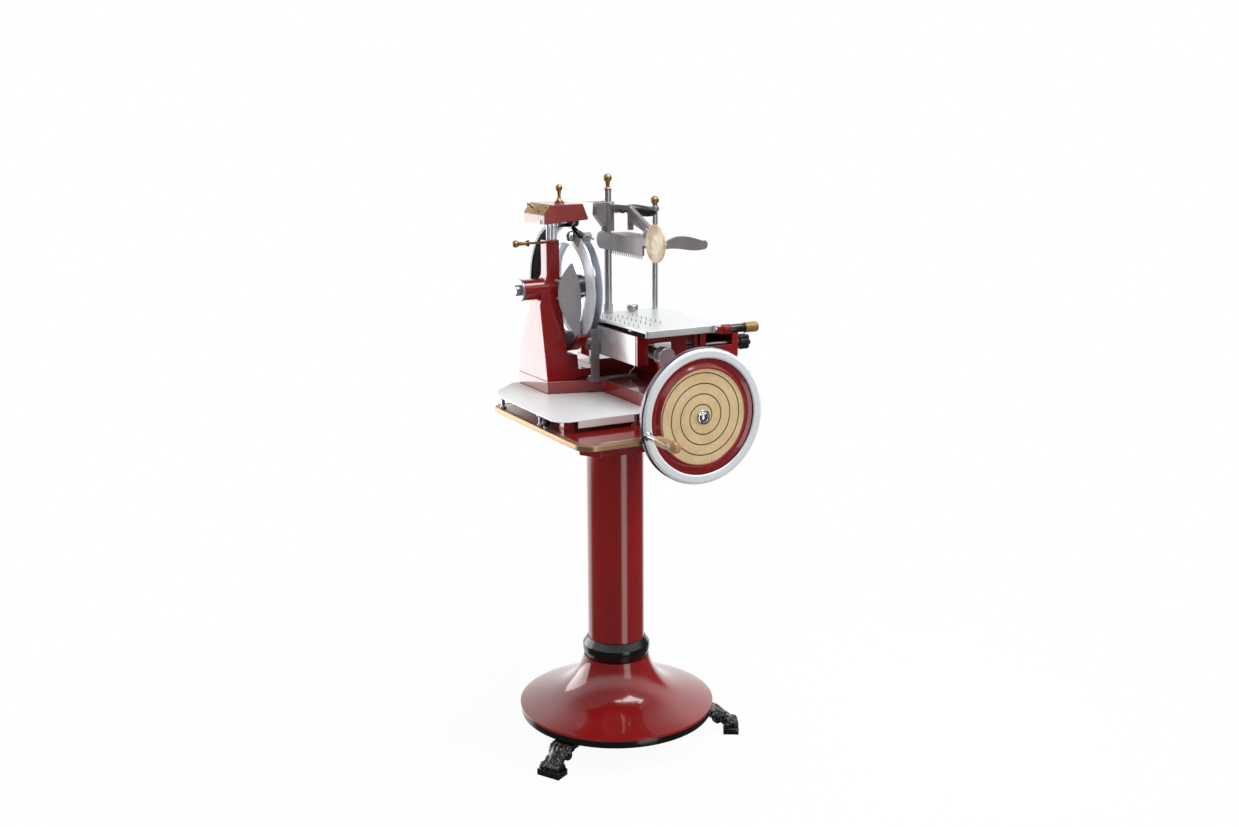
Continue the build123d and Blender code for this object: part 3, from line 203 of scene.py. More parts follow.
world = bpy.data.worlds.new("studioAir")
bpy.context.scene.world = world
world.use_nodes = True
air = Finish(world.node_tree)
facing = air.node("ShaderNodeTexCoord", output=0)
towardsCamera = air.node("ShaderNodeVectorMath", {"operation": "DOT_PRODUCT"},
                         {0: facing, 1: studio["frontWay"]}, output=1)
height = air.node("ShaderNodeSeparateXYZ", None, {"Vector": facing}, output=2)
frontPart = towardsCamera.ramp(*studio["frontSides"]) * height.ramp(*studio["frontHeight"], 1.0, 0.0)
rays = air.node("ShaderNodeLightPath", output=0)
mirrorRays = air.node("ShaderNodeLightPath", output=3)
clearRays = air.node("ShaderNodeLightPath", output=6)
sky = height.ramp(*studio["zenithHeight"], studio["white"], studio["zenith"])
mirrored = mirrorRays * (1 - frontPart) * sky + mirrorRays * frontPart * studio["frontDark"]
shown = rays.maths("MAXIMUM", rays, clearRays)
level = shown.maths("MAXIMUM", shown, mirrored)
plain = (1 - rays.maths("MAXIMUM", shown, mirrorRays)) * studio["ambient"]
glow = air.node("ShaderNodeBackground", None, {"Color": (1, 1, 1, 1), "Strength": level + plain})
air.node("ShaderNodeOutputWorld", None, {"Surface": glow})

# The floor looks white to the camera, keeps the machine's shadow and fades out towards its edge.
floorSettings = {
    "radius": 1.6,
    "drop": 0.0006,
    "matte": (0.94, 0.94, 0.94, 1),
    "glowSeen": 0.955,
    "glowMirrored": 0.5,
    "fade": (0.75, 1.5),
}
bpy.ops.object.select_all(action="DESELECT")
bpy.ops.mesh.primitive_circle_add(vertices=96, radius=floorSettings["radius"], fill_type="NGON",
                                  location=(0, 0, -floorSettings["drop"]))
floor = bpy.context.object
floor.name = "floor"
floor.visible_glossy = False
ground = bpy.data.materials.new("paleFloor")
ground.use_nodes = True
paper = Finish(ground.node_tree)
paperRays = paper.node("ShaderNodeLightPath", output=0)
whiteRays = paperRays.maths("MAXIMUM", paperRays, paper.node("ShaderNodeLightPath", output=3))
spot = paper.place()
distance = paper.node("ShaderNodeVectorMath", {"operation": "LENGTH"}, {0: spot}, output=1)
matte = paper.node("ShaderNodeBsdfDiffuse", None, {"Color": floorSettings["matte"]})
paleGlow = paper.node("ShaderNodeEmission", None, {"Color": (1, 1, 1, 1), "Strength": 1.0})
clear = paper.node("ShaderNodeBsdfTransparent")
glowShare = paperRays * floorSettings["glowSeen"] + (whiteRays - paperRays) * floorSettings["glowMirrored"]
cast = paper.node("ShaderNodeMixShader", None, {0: glowShare, 1: matte, 2: paleGlow})
edge = distance.ramp(*floorSettings["fade"])
paper.node("ShaderNodeOutputMaterial", None,
           {"Surface": paper.node("ShaderNodeMixShader", None, {0: edge, 1: cast, 2: clear})})
floor.data.materials.append(ground)


def panel(name, settings):
    lamp = bpy.data.lights.new(name, "AREA")
    lamp.shape = "RECTANGLE"
    lamp.size, lamp.size_y = settings["size"]
    lamp.energy = settings["power"]
    made = bpy.data.objects.new(name, lamp)
    bpy.context.scene.collection.objects.link(made)
    start, end = at(*settings["place"]), at(*settings["aim"])
    turn = (end - start).to_track_quat("-Z", "Y").to_matrix().to_4x4()
    made.matrix_world = Matrix.Translation(start) @ turn
    made.visible_camera = False
    made.visible_glossy = settings["mirrored"]


for name in ("strip", "key", "top", "back", "tower"):
    panel(name + "Light", studio[name])
print("camera, floor and light set")


# Each maker of a finish puts its material in here under the finish's name.
finishes = {}


def newFinish(name, settings):
    made = bpy.data.materials.new(name)
    made.use_nodes = True
    made.diffuse_color = settings["colour"]
    finishes[name] = made
    return Finish(made.node_tree)


def surface(finish, settings, links):
    values = {"Base Color": settings["colour"], "Metallic": settings.get("metallic", 0.0),
              "Roughness": settings["roughness"], "Coat Weight": settings.get("coat", 0.0),
              "Coat Roughness": settings.get("coatRoughness", 0.05), "IOR": 1.5}
    values.update(links)
    body = finish.node("ShaderNodeBsdfPrincipled", None, values)
    finish.node("ShaderNodeOutputMaterial", None, {"Surface": body})


# Stove enamel: a deep colour under a clear coat, with a faint ripple and tone drift.
def enamel(name, settings):
    finish = newFinish(name, settings)
    spot = finish.place()
    drift = finish.noise(spot, settings.get("driftScale", 4.0), 2.0)
    ripple = finish.noise(spot, settings.get("rippleScale", 55.0), 2.0)
    fine = finish.noise(spot, 900.0, 1.0)
    deep = tuple(value * settings.get("depth", 0.86) for value in settings["colour"][:3]) + (1.0,)
    surface(finish, settings, {
        "Base Color": finish.mix(drift.ramp(0.3, 0.7), deep, settings["colour"]),
        "Roughness": settings["roughness"] + (fine - 0.5) * 0.05,
        "Normal": finish.bump(ripple, settings.get("ripple", 0.05), 0.0006),
    })


# Bare metal: polished or brushed along one axis, with cloudy roughness and fine scratches.
def bareMetal(name, settings):
    finish = newFinish(name, settings)
    along = finish.place(settings.get("brush", (1, 1, 1)))
    brush = finish.noise(along, settings.get("brushScale", 400.0), 2.0)
    cloud = finish.noise(finish.place(), settings.get("cloudScale", 18.0), 3.0)
    shade = tuple(value * settings.get("shade", 0.8) for value in settings["colour"][:3]) + (1.0,)
    surface(finish, {"metallic": 1.0, **settings}, {
        "Base Color": finish.mix(cloud.ramp(0.35, 0.7), shade, settings["colour"]),
        "Roughness": settings["roughness"] + (cloud - 0.5) * settings.get("cloud", 0.08)
        + (brush - 0.5) * settings.get("streak", 0.1),
        "Normal": finish.bump(brush, settings.get("grain", 0.03), 0.0003),
    })


# Cast metal: dark and slightly pitted, with worn high spots.
def castMetal(name, settings):
    finish = newFinish(name, settings)
    spot = finish.place()
    pits = finish.noise(spot, settings.get("pitScale", 320.0), 4.0, 0.6)
    cloud = finish.noise(spot, 24.0, 3.0)
    worn = tuple(min(1.0, value * settings.get("worn", 1.35)) for value in settings["colour"][:3]) + (1.0,)
    surface(finish, {"metallic": 1.0, **settings}, {
        "Base Color": finish.mix(cloud.ramp(0.4, 0.75), settings["colour"], worn),
        "Roughness": settings["roughness"] + (pits - 0.5) * 0.14,
        "Normal": finish.bump(pits, settings.get("pitting", 0.12), 0.0005),
    })


# Plastic and bakelite knobs.
def mouldedPlastic(name, settings):
    finish = newFinish(name, settings)
    spot = finish.place()
    swirl = finish.noise(spot, 60.0, 3.0)
    pale = tuple(min(1.0, value * 1.5 + 0.004) for value in settings["colour"][:3]) + (1.0,)
    surface(finish, settings, {
        "Base Color": finish.mix(swirl.ramp(0.45, 0.8), settings["colour"], pale),
        "Roughness": settings["roughness"] + (swirl - 0.5) * 0.08,
        "Normal": finish.bump(finish.noise(spot, 500.0, 2.0), 0.05, 0.0003),
    })


# Varnished wood with its grain along Y, the axis of the crank handle.
def varnishedWood(name, settings):
    finish = newFinish(name, settings)
    spot = finish.place((1, 0.07, 1), (0.1, 0, 0.05))
    grain = finish.noise(spot, 240.0, 4.0, 0.6)
    band = finish.noise(spot, 60.0, 2.0)
    dark = tuple(value * 0.5 for value in settings["colour"][:3]) + (1.0,)
    surface(finish, settings, {
        "Base Color": finish.mix((grain * 0.6 + band * 0.5).ramp(0.4, 0.72), settings["colour"], dark),
        "Roughness": settings["roughness"] + (grain - 0.5) * 0.1,
        "Normal": finish.bump(grain, 0.06, 0.0004),
    })


# The flywheel's cream face: a fine dark spiral line that opens from the hub, on a grained lacquer.
spiralFace = {
    "centre": (121, -222, 870),
    "colour": colour(232, 206, 162),
    "shade": colour(216, 186, 138),
    "line": colour(58, 42, 26),
    "pitch": 0.0256,
    "start": 0.0240,
    "inner": 0.018,
    "outer": 0.1155,
    "width": 0.0013,
    "roughness": 0.3,
    "coat": 0.5,
}


def spiralLacquer(name, settings):
    finish = newFinish(name, settings)
    spot = finish.place(centre=at(*settings["centre"]))
    parts = [finish.node("ShaderNodeSeparateXYZ", None, {"Vector": spot}, output=i) for i in range(3)]
    across, up = parts[0], parts[2]
    turn = finish.node("ShaderNodeMath", {"operation": "ARCTAN2"}, {0: up, 1: across}) / (2 * math.pi)
    radius = (across * across + up * up) ** 0.5
    lap = (radius - settings["start"]) / settings["pitch"] - turn
    nearest = lap.maths("ABSOLUTE", lap - lap.maths("ROUND", lap)) * settings["pitch"]
    line = nearest.ramp(settings["width"] * 0.7, settings["width"] * 1.5, 1.0, 0.0)
    line = line * (radius > settings["inner"]) * (radius < settings["outer"])
    cloth = finish.noise(finish.place((1, 1, 0.16)), 260.0, 3.0, 0.6)
    cloud = finish.noise(finish.place(), 22.0, 3.0)
    face = finish.mix((cloth * 0.5 + cloud * 0.6).ramp(0.35, 0.75), settings["shade"], settings["colour"])
    surface(finish, settings, {
        "Base Color": finish.mix(line, face, settings["line"]),
        "Roughness": settings["roughness"] + line * 0.25 + (cloth - 0.5) * 0.12,
        "Normal": finish.bump(line * -1.0 + cloth * 0.08, 0.4, 0.0005),
    })


redPaint = {"colour": colour(146, 22, 24), "roughness": 0.2, "coat": 1.0, "coatRoughness": 0.03}
enamel("redEnamel", redPaint)
enamel("hoodEnamel", {**redPaint, "colour": colour(140, 50, 50), "roughness": 0.34})
enamel("blackEnamel", {"colour": colour(14, 14, 16), "roughness": 0.2, "coat": 0.4, "ripple": 0.06})
enamel("castBlackEnamel", {"colour": colour(13, 13, 14), "roughness": 0.25, "coat": 0.6, "ripple": 0.4,
                           "rippleScale": 260.0})
bareMetal("chrome", {"colour": colour(226, 229, 234), "roughness": 0.08, "cloud": 0.04, "streak": 0.03,
                     "shade": 0.93, "grain": 0.01})
bareMetal("nutChrome", {"colour": colour(168, 167, 172), "metallic": 0.7, "roughness": 0.3, "shade": 0.85})
bareMetal("barChrome", {"colour": colour(214, 214, 220), "metallic": 0.7, "roughness": 0.2, "shade": 0.9})
bareMetal("rimSatin", {"colour": colour(238, 243, 247), "metallic": 0.25, "roughness": 0.42, "cloud": 0.06,
                       "shade": 0.97, "streak": 0.04})
# A darker copy of the rim's chrome. Its dark colour is painted shade and painted dark reflection on the
# flywheel rim's side wall.
bareMetal("rimWallShadedChrome", {"colour": colour(128, 118, 126), "roughness": 0.12, "cloud": 0.04, "shade": 0.85})
bareMetal("polishedGuard", {"colour": colour(222, 227, 236), "metallic": 0.5, "roughness": 0.3, "cloud": 0.02,
                            "shade": 0.98, "brushScale": 260.0, "streak": 0.02, "grain": 0.008})
bareMetal("bladeSteel", {"colour": colour(222, 226, 232), "roughness": 0.16, "shade": 0.95, "cloud": 0.03})
bareMetal("groundSteel", {"colour": colour(196, 194, 196), "roughness": 0.27, "brush": (1, 1, 0.06),
                          "brushScale": 420.0, "streak": 0.01, "shade": 0.96, "cloud": 0.02, "grain": 0.0})
bareMetal("postSteel", {"colour": colour(196, 193, 196), "metallic": 0.8, "roughness": 0.26, "shade": 0.97,
                        "cloud": 0.0, "streak": 0.0, "grain": 0.0})
bareMetal("trayMetal", {"colour": colour(248, 252, 252), "metallic": 0.2, "roughness": 0.36,
                        "brush": (1, 0.04, 1), "brushScale": 700.0, "streak": 0.05, "shade": 0.985,
                        "cloud": 0.03})
bareMetal("tableMetal", {"colour": colour(232, 236, 236), "metallic": 0.45, "roughness": 0.34,
                         "brush": (0.05, 1, 1), "brushScale": 700.0, "streak": 0.06, "shade": 0.97,
                         "cloud": 0.03})
bareMetal("sheetMetal", {"colour": colour(214, 216, 220), "metallic": 0.8, "roughness": 0.24, "shade": 0.96})
bareMetal("capBrass", {"colour": colour(214, 174, 124), "metallic": 0.75, "roughness": 0.32, "shade": 0.85})
bareMetal("brass", {"colour": colour(182, 146, 100), "metallic": 0.85, "roughness": 0.34, "shade": 0.7,
                    "cloud": 0.1})
bareMetal("goldBorder", {"colour": colour(190, 156, 116), "metallic": 0.8, "roughness": 0.36, "shade": 0.86,
                         "streak": 0.12, "brush": (1, 0.05, 1), "brushScale": 600.0})
bareMetal("plateBrass", {"colour": colour(178, 146, 100), "roughness": 0.4, "shade": 0.72, "streak": 0.25,
                         "brush": (0.05, 1, 1), "brushScale": 500.0, "grain": 0.1})
castMetal("darkSteel", {"colour": colour(146, 140, 143), "metallic": 0.6, "roughness": 0.4, "worn": 1.2})
castMetal("deflectorSteel", {"colour": colour(178, 174, 178), "metallic": 0.35, "roughness": 0.44,
                             "pitting": 0.03, "worn": 1.12})
castMetal("stoneGrit", {"colour": colour(96, 90, 88), "roughness": 0.85, "metallic": 0.0, "pitting": 0.6,
                        "pitScale": 900.0})
castMetal("oiledSteel", {"colour": colour(76, 72, 74), "roughness": 0.42})
mouldedPlastic("bakelite", {"colour": colour(26, 25, 29), "roughness": 0.2, "coat": 0.4})
# A near-black finish, used only for the painted shade in the carriage's front opening.
mouldedPlastic("paintedShadeBlack", {"colour": colour(10, 8, 9), "roughness": 0.6})
varnishedWood("gripWood", {"colour": colour(190, 148, 96), "roughness": 0.34, "coat": 0.35})
mouldedPlastic("creamDisc", {"colour": colour(218, 190, 148), "roughness": 0.3, "coat": 0.5})
spiralLacquer("spiralCream", spiralFace)
print("finishes made:", len(finishes))

nodeFinish = {
    "redEnamel": ("pedestal_base", "pedestal_column", "pedestal_head", "base_plate", "base_casting",
                  "blade_tower", "ring_guard", "flywheel_disc", "carriage_body", "feed_bracket"),
    "hoodEnamel": ("sharpener_hood",),
    "blackEnamel": ("pedestal_collar", "pedestal_foot_ring"),
    "castBlackEnamel": ("pedestal_feet",),
    "chrome": ("tray_feet", "machine_screws", "bracket_lever", "sharpener_rods", "blade_shaft",
               "flywheel_cap", "crank_pin"),
    "nutChrome": ("hub_ring",),
    "barChrome": ("guide_bar",),
    "rimSatin": ("flywheel_rim",),
    "polishedGuard": ("inner_guard",),
    "bladeSteel": ("blade",),
    "postSteel": ("guide_posts",),
    "groundSteel": ("drive_shaft", "cross_shaft", "feed_screw", "table_spikes", "cross_sprocket",
                    "blade_sprocket", "thumb_nut"),
    "trayMetal": ("slice_tray",),
    "tableMetal": ("table_plate",),
    "sheetMetal": ("side_panel",),
    "brass": ("shaft_bearings", "hood_finial", "tower_lock_screw", "post_finials"),
    "goldBorder": ("base_plate_trim",),
    "plateBrass": ("hood_plate",),
    "darkSteel": ("guard_clamp", "guard_lock_knob", "guard_bracket", "sharpener_arms", "clamp_sleeve",
                  "presser_plate", "clamp_lever"),
    "deflectorSteel": ("slice_deflector",),
    "stoneGrit": ("grinding_stone", "deburring_stone"),
    "oiledSteel": ("drive_chain",),
    "bakelite": ("feed_knob", "feed_handle", "cam_lever"),
    "gripWood": ("crank_grip",),
    "creamDisc": ("clamp_disc",),
    "spiralCream": ("flywheel_face",),
}
finishOf = {node: finish for finish, members in nodeFinish.items() for node in members}
for node, finish in finishOf.items():
    nodes[node].data.materials.clear()
    nodes[node].data.materials.append(finishes[finish])


def alone(piece):
    bpy.ops.object.select_all(action="DESELECT")
    piece.select_set(True)
    bpy.context.view_layer.objects.active = piece


def edit(piece, kind="FACE"):
    alone(piece)
    bpy.ops.object.mode_set(mode="EDIT")
    bpy.ops.mesh.select_mode(type=kind)


def leave():
    bpy.ops.object.mode_set(mode="OBJECT")


def settle(piece, name, finish, body, smooth=35):
    alone(piece)
    bpy.ops.object.transform_apply(location=True, rotation=True, scale=True)
    if smooth:
        bpy.ops.object.shade_smooth_by_angle(angle=math.radians(smooth))
    piece.name = name
    piece.data.name = name
    piece.data.materials.clear()
    piece.data.materials.append(finishes[finish])
    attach(piece, body)
    return piece


def modifier(piece, kind, **settings):
    alone(piece)
    made = piece.modifiers.new(kind.lower(), kind)
    for key, value in settings.items():
        setattr(made, key, value)
    bpy.ops.object.modifier_apply(modifier=made.name)


# Faces that pass a test of their middle and normal take a second finish.
def paintFaces(piece, finish, test):
    piece.data.materials.append(finishes[finish])
    slot = len(piece.data.materials) - 1
    for face in piece.data.polygons:
        if test(face.center, face.normal):
            face.material_index = slot


# A turned piece: a disc on the bench that is pulled up along Z and widened or narrowed ring by ring.
def turnOut(profile, sides=48):
    radius, height = profile[0]
    bpy.ops.object.select_all(action="DESELECT")
    bpy.ops.mesh.primitive_circle_add(vertices=sides, radius=radius / 1000, fill_type="NGON",
                                      location=(0, 0, height / 1000))
    piece = bpy.context.object
    bpy.ops.object.transform_apply(location=True)
    edit(piece)
    bpy.ops.mesh.select_all(action="SELECT")
    for nextRadius, nextHeight in profile[1:]:
        bpy.ops.mesh.extrude_region_move(
            TRANSFORM_OT_translate={"value": (0, 0, (nextHeight - height) / 1000)})
        share = nextRadius / radius
        bpy.ops.transform.resize(value=(share, share, 1), center_override=(0, 0, nextHeight / 1000))
        radius, height = nextRadius, nextHeight
    bpy.ops.mesh.select_all(action="SELECT")
    bpy.ops.mesh.normals_make_consistent(inside=False)
    leave()
    return piece


# A piece made on the bench is stood at its place, its Z axis turned to the way that it faces.
def stand(piece, place, facing="Z"):
    turns = {"Z": (0, 0, 0), "X": (0, 90, 0), "-X": (0, -90, 0), "Y": (-90, 0, 0), "-Y": (90, 0, 0)}
    piece.rotation_euler = [math.radians(value) for value in turns[facing]]
    piece.location = at(*place)
    alone(piece)
    bpy.ops.object.transform_apply(location=True, rotation=True, scale=True)
    return piece


# Grooves along a turned piece, before it is stood up: every so many side faces are pushed in.
def flute(piece, low, high, every, depth, rim=0.25):
    edit(piece)
    bpy.ops.mesh.select_all(action="DESELECT")
    leave()
    count = 0
    for face in sorted(piece.data.polygons, key=lambda face: math.atan2(face.center.y, face.center.x)):
        if abs(face.normal.z) < 0.3 and low < face.center.z * 1000 < high:
            face.select = count % every == 0
            count += 1
    edit(piece)
    bpy.ops.mesh.inset(thickness=rim / 1000, depth=-depth / 1000, use_individual=True)
    leave()


# A block with its edges broken, at its place on the machine.
def brokenBlock(place, size, turn=(0, 0, 0), edge=0.6):
    bpy.ops.object.select_all(action="DESELECT")
    bpy.ops.mesh.primitive_cube_add(size=1, location=at(*place), scale=[value / 1000 for value in size],
                                    rotation=[math.radians(value) for value in turn])
    piece = bpy.context.object
    bpy.ops.object.transform_apply(location=True, rotation=True, scale=True)
    if edge:
        modifier(piece, "BEVEL", width=edge / 1000, segments=2)
    return piece


def joined(pieces):
    bpy.ops.object.select_all(action="DESELECT")
    for piece in pieces:
        piece.select_set(True)
    bpy.context.view_layer.objects.active = pieces[0]
    bpy.ops.object.join()
    return bpy.context.object


# Holes and slots are cut with a cutter that is taken away afterwards.
def carve(piece, cutters, solver="EXACT"):
    for cutter in cutters:
        modifier(piece, "BOOLEAN", operation="DIFFERENCE", solver=solver, object=cutter)
        bpy.data.objects.remove(cutter)


def drill(place, radius, length, facing):
    return stand(turnOut([(radius, -length / 2), (radius, length / 2)], 24), place, facing)


# Castings and machined pieces get the small rounded edges that a hand file leaves. Angles are in degrees.
rounding = {"merge": 0.000005, "flat": 0.6, "sharpest": 32, "smooth": 38}


def roundEdges(node, name, width):
    source = nodes[node]
    piece = source.copy()
    piece.data = source.data.copy()
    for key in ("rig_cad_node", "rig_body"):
        if key in piece:
            del piece[key]
    piece.parent = None
    bpy.context.scene.collection.objects.link(piece)
    edit(piece, "VERT")
    bpy.ops.mesh.select_all(action="SELECT")
    bpy.ops.mesh.remove_doubles(threshold=rounding["merge"])
    bpy.ops.mesh.dissolve_limited(angle_limit=math.radians(rounding["flat"]))
    leave()
    modifier(piece, "BEVEL", width=width / 1000, segments=2, limit_method="ANGLE",
             angle_limit=math.radians(rounding["sharpest"]), use_clamp_overlap=False, miter_outer="MITER_ARC")
    settle(piece, name, finishOf[node], bodyOf[node], rounding["smooth"])
    modifier(piece, "WEIGHTED_NORMAL", keep_sharp=True)
    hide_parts(node)
    return piece


# The node, the name of its finished piece and the width of its rounded edges.
roundedPieces = {
    "pedestal_head": ("headCasting", 2.2),
    "pedestal_collar": ("collarRing", 1.5),
    "pedestal_foot_ring": ("footRing", 2.0),
    "base_plate": ("basePlateTop", 0.8),
    "base_plate_trim": ("goldPlateBorder", 1.2),
    "base_casting": ("mechanismCasting", 1.8),
    "slice_tray": ("sliceTray", 0.8),
    "blade_tower": ("towerCasting", 2.2),
    "sharpener_hood": ("hoodCasting", 1.3),
    "carriage_body": ("carriageCasting", 1.3),
    "side_panel": ("carriageSidePanel", 0.4),
    "table_plate": ("feedTable", 1.4),
    "guard_bracket": ("bracketBar", 0.9),
    "guard_clamp": ("guardStrap", 0.7),
    "clamp_sleeve": ("clampSleeveCasting", 1.6),
    "presser_plate": ("presserCasting", 0.8),
    "clamp_lever": ("clampLeverLeaf", 1.6),
    "clamp_disc": ("creamClampDisc", 1.2),
    "feed_bracket": ("feedBracketLug", 1.0),
    "hub_ring": ("hubRing", 1.5),
    "guide_bar": ("guideBar", 1.8),
    "flywheel_rim": ("flywheelRim", 1.5),
    "flywheel_disc": ("flywheelDisc", 1.2),
    "ring_guard": ("bladeHoop", 0.7),
    "inner_guard": ("innerGuardRing", 1.0),
    "feed_knob": ("lobedFeedKnob", 2.0),
    "slice_deflector": ("deflectorSheet", 0.5),
    "hood_plate": ("hoodBrassPlate", 0.4),
}
shaped = {node: roundEdges(node, *settings) for node, settings in roundedPieces.items()}
print("edges rounded:", len(shaped))


# The front eye of the guide bar is turned bright.
frontEye = {"centre": (130, 0, 984), "radius": 24.2, "from": -33, "to": -7.5}


def onFrontEye(middle, normal):
    arm = middle - at(*frontEye["centre"])
    return (frontEye["from"] < (middle - columnAxis).y * 1000 < frontEye["to"]
            and arm.xz.length * 1000 < frontEye["radius"])


paintFaces(shaped["base_casting"], "barChrome", onFrontEye)

rim = shaped["flywheel_rim"]
# The rim's side wall takes the darker chrome, as painted shade and painted dark reflection.
paintFaces(rim, "rimWallShadedChrome", lambda middle, normal: normal.y > -0.6)

# The hoop's red inner wall is painted black as painted shade, for the shadow inside it. The strap that ends
# the hoop is black, and it is cut narrower to show the knob behind it.
# Its angles are measured about the blade's axle, in degrees.
hoopSettings = {
    "centre": (9, 330, 1125),
    "cuts": (101, 109, 117, 125),
    "cutRadius": 168,
    "cutSize": (36, 26, 30),
    "strap": (96, 126),
    # Radius inside which the hoop is painted black as painted shade.
    "inside": 162.5,
}


def aroundBlade(middle):
    arm = (middle - at(*hoopSettings["centre"])).yz
    return math.degrees(math.atan2(arm.y, arm.x)), arm.length * 1000


def paintedShadeInsideAndBlackStrap(middle, normal):
    angle, radius = aroundBlade(middle)
    return radius < hoopSettings["inside"] or hoopSettings["strap"][0] < angle < hoopSettings["strap"][1]


hoop = shaped["ring_guard"]
x, y, z = hoopSettings["centre"]
for angle in hoopSettings["cuts"]:
    turn = math.radians(angle)
    spot = (x, y + hoopSettings["cutRadius"] * math.cos(turn), z + hoopSettings["cutRadius"] * math.sin(turn))
    carve(hoop, [brokenBlock(spot, hoopSettings["cutSize"], (angle - 90, 0, 0), 0)], "FAST")
paintFaces(hoop, "blackEnamel", paintedShadeInsideAndBlackStrap)

wheelCap = {
    "place": (121, -222, 870),
    "profile": [(17.2, -0.5), (17.2, 2.4), (16.2, 3.4), (13.4, 4.0), (12.8, 3.6), (12.2, 4.2), (9.5, 6.6),
                (5.5, 8.2), (1.5, 8.9), (0.4, 8.95)],
}
cap = stand(turnOut(wheelCap["profile"], 64), wheelCap["place"], "-Y")
settle(cap, "wheelCapDome", "chrome", bodyOf["flywheel_cap"])
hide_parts("flywheel_cap")

crankHandle = {
    "place": (-32.2, -272.3, 840.8),
    "profile": [(9.6, 0), (11.4, 1.2), (12.2, 4), (12.6, 24), (12.4, 46), (11.4, 54), (10.9, 57), (12.6, 61),
                (14.4, 67), (15, 73), (14.4, 80), (12.2, 86), (8.6, 89.6), (4, 90.8), (0.5, 91)],
}
grip = stand(turnOut(crankHandle["profile"], 56), crankHandle["place"], "-Y")
settle(grip, "crankHandle", "gripWood", bodyOf["crank_grip"], 50)
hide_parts("crank_grip")
print("flywheel fittings made")


# Feed handle: a fluted red socket, a black sleeve and a brass cap on a steel pin.
feedHandle = {
    "axis": (-62, 1046),
    "start": 272.3,
    "pin": [(5, -22), (8, -21.5), (8, -17), (5, -16.8), (5, 2)],
    "socket": [(9.5, 0), (12.4, 1.2), (12.5, 23), (11, 24.2)],
    "sleeve": [(10.6, 24), (10.9, 24.6), (10.9, 65.6), (10.4, 66.2)],
    "cap": [(12.2, 66), (13.4, 67.2), (13.4, 101.6), (12.2, 103.6), (9.6, 104), (8.8, 102.6), (0.5, 102.6)],
}
axis = feedHandle["axis"]
for part, name, finish, sides, low, high, every, depth in (
        ("pin", "feedHandlePin", "chrome", 32, 0, 0, 0, 0),
        ("socket", "feedHandleSocket", "redEnamel", 36, 5, 20, 3, 1.6),
        ("sleeve", "feedHandleSleeve", "bakelite", 48, 30, 60, 4, 0.9),
        ("cap", "feedHandleCap", "capBrass", 60, 70, 98, 5, 0.6)):
    piece = turnOut(feedHandle[part], sides)
    if every:
        flute(piece, low, high, every, depth)
    stand(piece, (feedHandle["start"], *axis), "X")
    settle(piece, name, finish, bodyOf["feed_handle"])
    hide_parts("feed_handle")
print("feed handle made")


thumbNut = {
    "place": (201, 275, 1055.3),
    "profile": [(4, -7.2), (4, -0.2), (8.6, 0), (9, 0.6), (9, 3), (14.6, 3.2), (15.4, 4), (15.4, 15),
                (14.6, 16), (11, 16), (10.2, 15.2), (0.5, 15.2)],
}
piece = turnOut(thumbNut["profile"], 96)
flute(piece, 4.5, 14, 2, 0.7, 0.1)
stand(piece, thumbNut["place"])
settle(piece, "knurledThumbNut", "groundSteel", bodyOf["thumb_nut"])
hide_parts("thumb_nut")

# A near-black sheet in the carriage's front opening, above the bar that it runs on, is painted shade for the
# shadow inside the opening.
paintedShadeSheet = {"place": (130, 70, 1008), "size": (66, 3, 14)}
piece = settle(brokenBlock(paintedShadeSheet["place"], paintedShadeSheet["size"], edge=0), "carriagePaintedShade", "paintedShadeBlack",
               bodyOf["carriage_body"])

camRivet = {"place": (156, 242, 1328), "profile": [(3.4, -7), (3.4, 0), (2.8, 0.9), (1.4, 1.4), (0.3, 1.5)]}
rivet = stand(turnOut(camRivet["profile"], 24), camRivet["place"], "-Y")
settle(rivet, "camRivet", "chrome", bodyOf["cam_lever"])

# The castle nut at the end of the blade's shaft, with six slots in its crown.
castleNut = {
    "place": (-106, 330, 1125),
    "profile": [(13.2, -1), (14.2, 0), (14.2, 12.6), (13.4, 13.9), (8.4, 13.9), (8, 11), (0.5, 11)],
    "slots": 6,
    "slotFace": -119.5,
    "slotRadius": 12,
    "slotSize": (4, 6, 2.6),
}
piece = turnOut(castleNut["profile"], 36)
stand(piece, castleNut["place"], "-X")
slots = []
for number in range(castleNut["slots"]):
    angle = number * 360 // castleNut["slots"]
    across = castleNut["slotRadius"] * math.cos(math.radians(angle))
    up = castleNut["slotRadius"] * math.sin(math.radians(angle))
    spot = (castleNut["slotFace"], castleNut["place"][1] + across, castleNut["place"][2] + up)
    slots.append(brokenBlock(spot, castleNut["slotSize"], (angle, 0, 0), 0))
carve(piece, slots)
settle(piece, "castleNut", "nutChrome", bodyOf["blade_shaft"], 30)

guardKnob = {
    "place": (29, 279.4, 1264.1),
    "profile": [(5, -0.2), (5, 5), (11.6, 5.2), (12.8, 6.4), (12.8, 14.6), (12, 15.8), (10.6, 16),
                (9.6, 14.4), (0.5, 14.4)],
    "blackDisc": 9.5,
}


def onKnobDisc(middle, normal):
    return normal.x < -0.9 and (middle - at(*guardKnob["place"])).yz.length * 1000 < guardKnob["blackDisc"]


piece = turnOut(guardKnob["profile"], 72)
flute(piece, 7, 14, 2, 0.5, 0.08)
stand(piece, guardKnob["place"], "-X")
settle(piece, "knurledGuardKnob", "chrome", bodyOf["guard_lock_knob"])
paintFaces(piece, "bakelite", onKnobDisc)
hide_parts("guard_lock_knob")

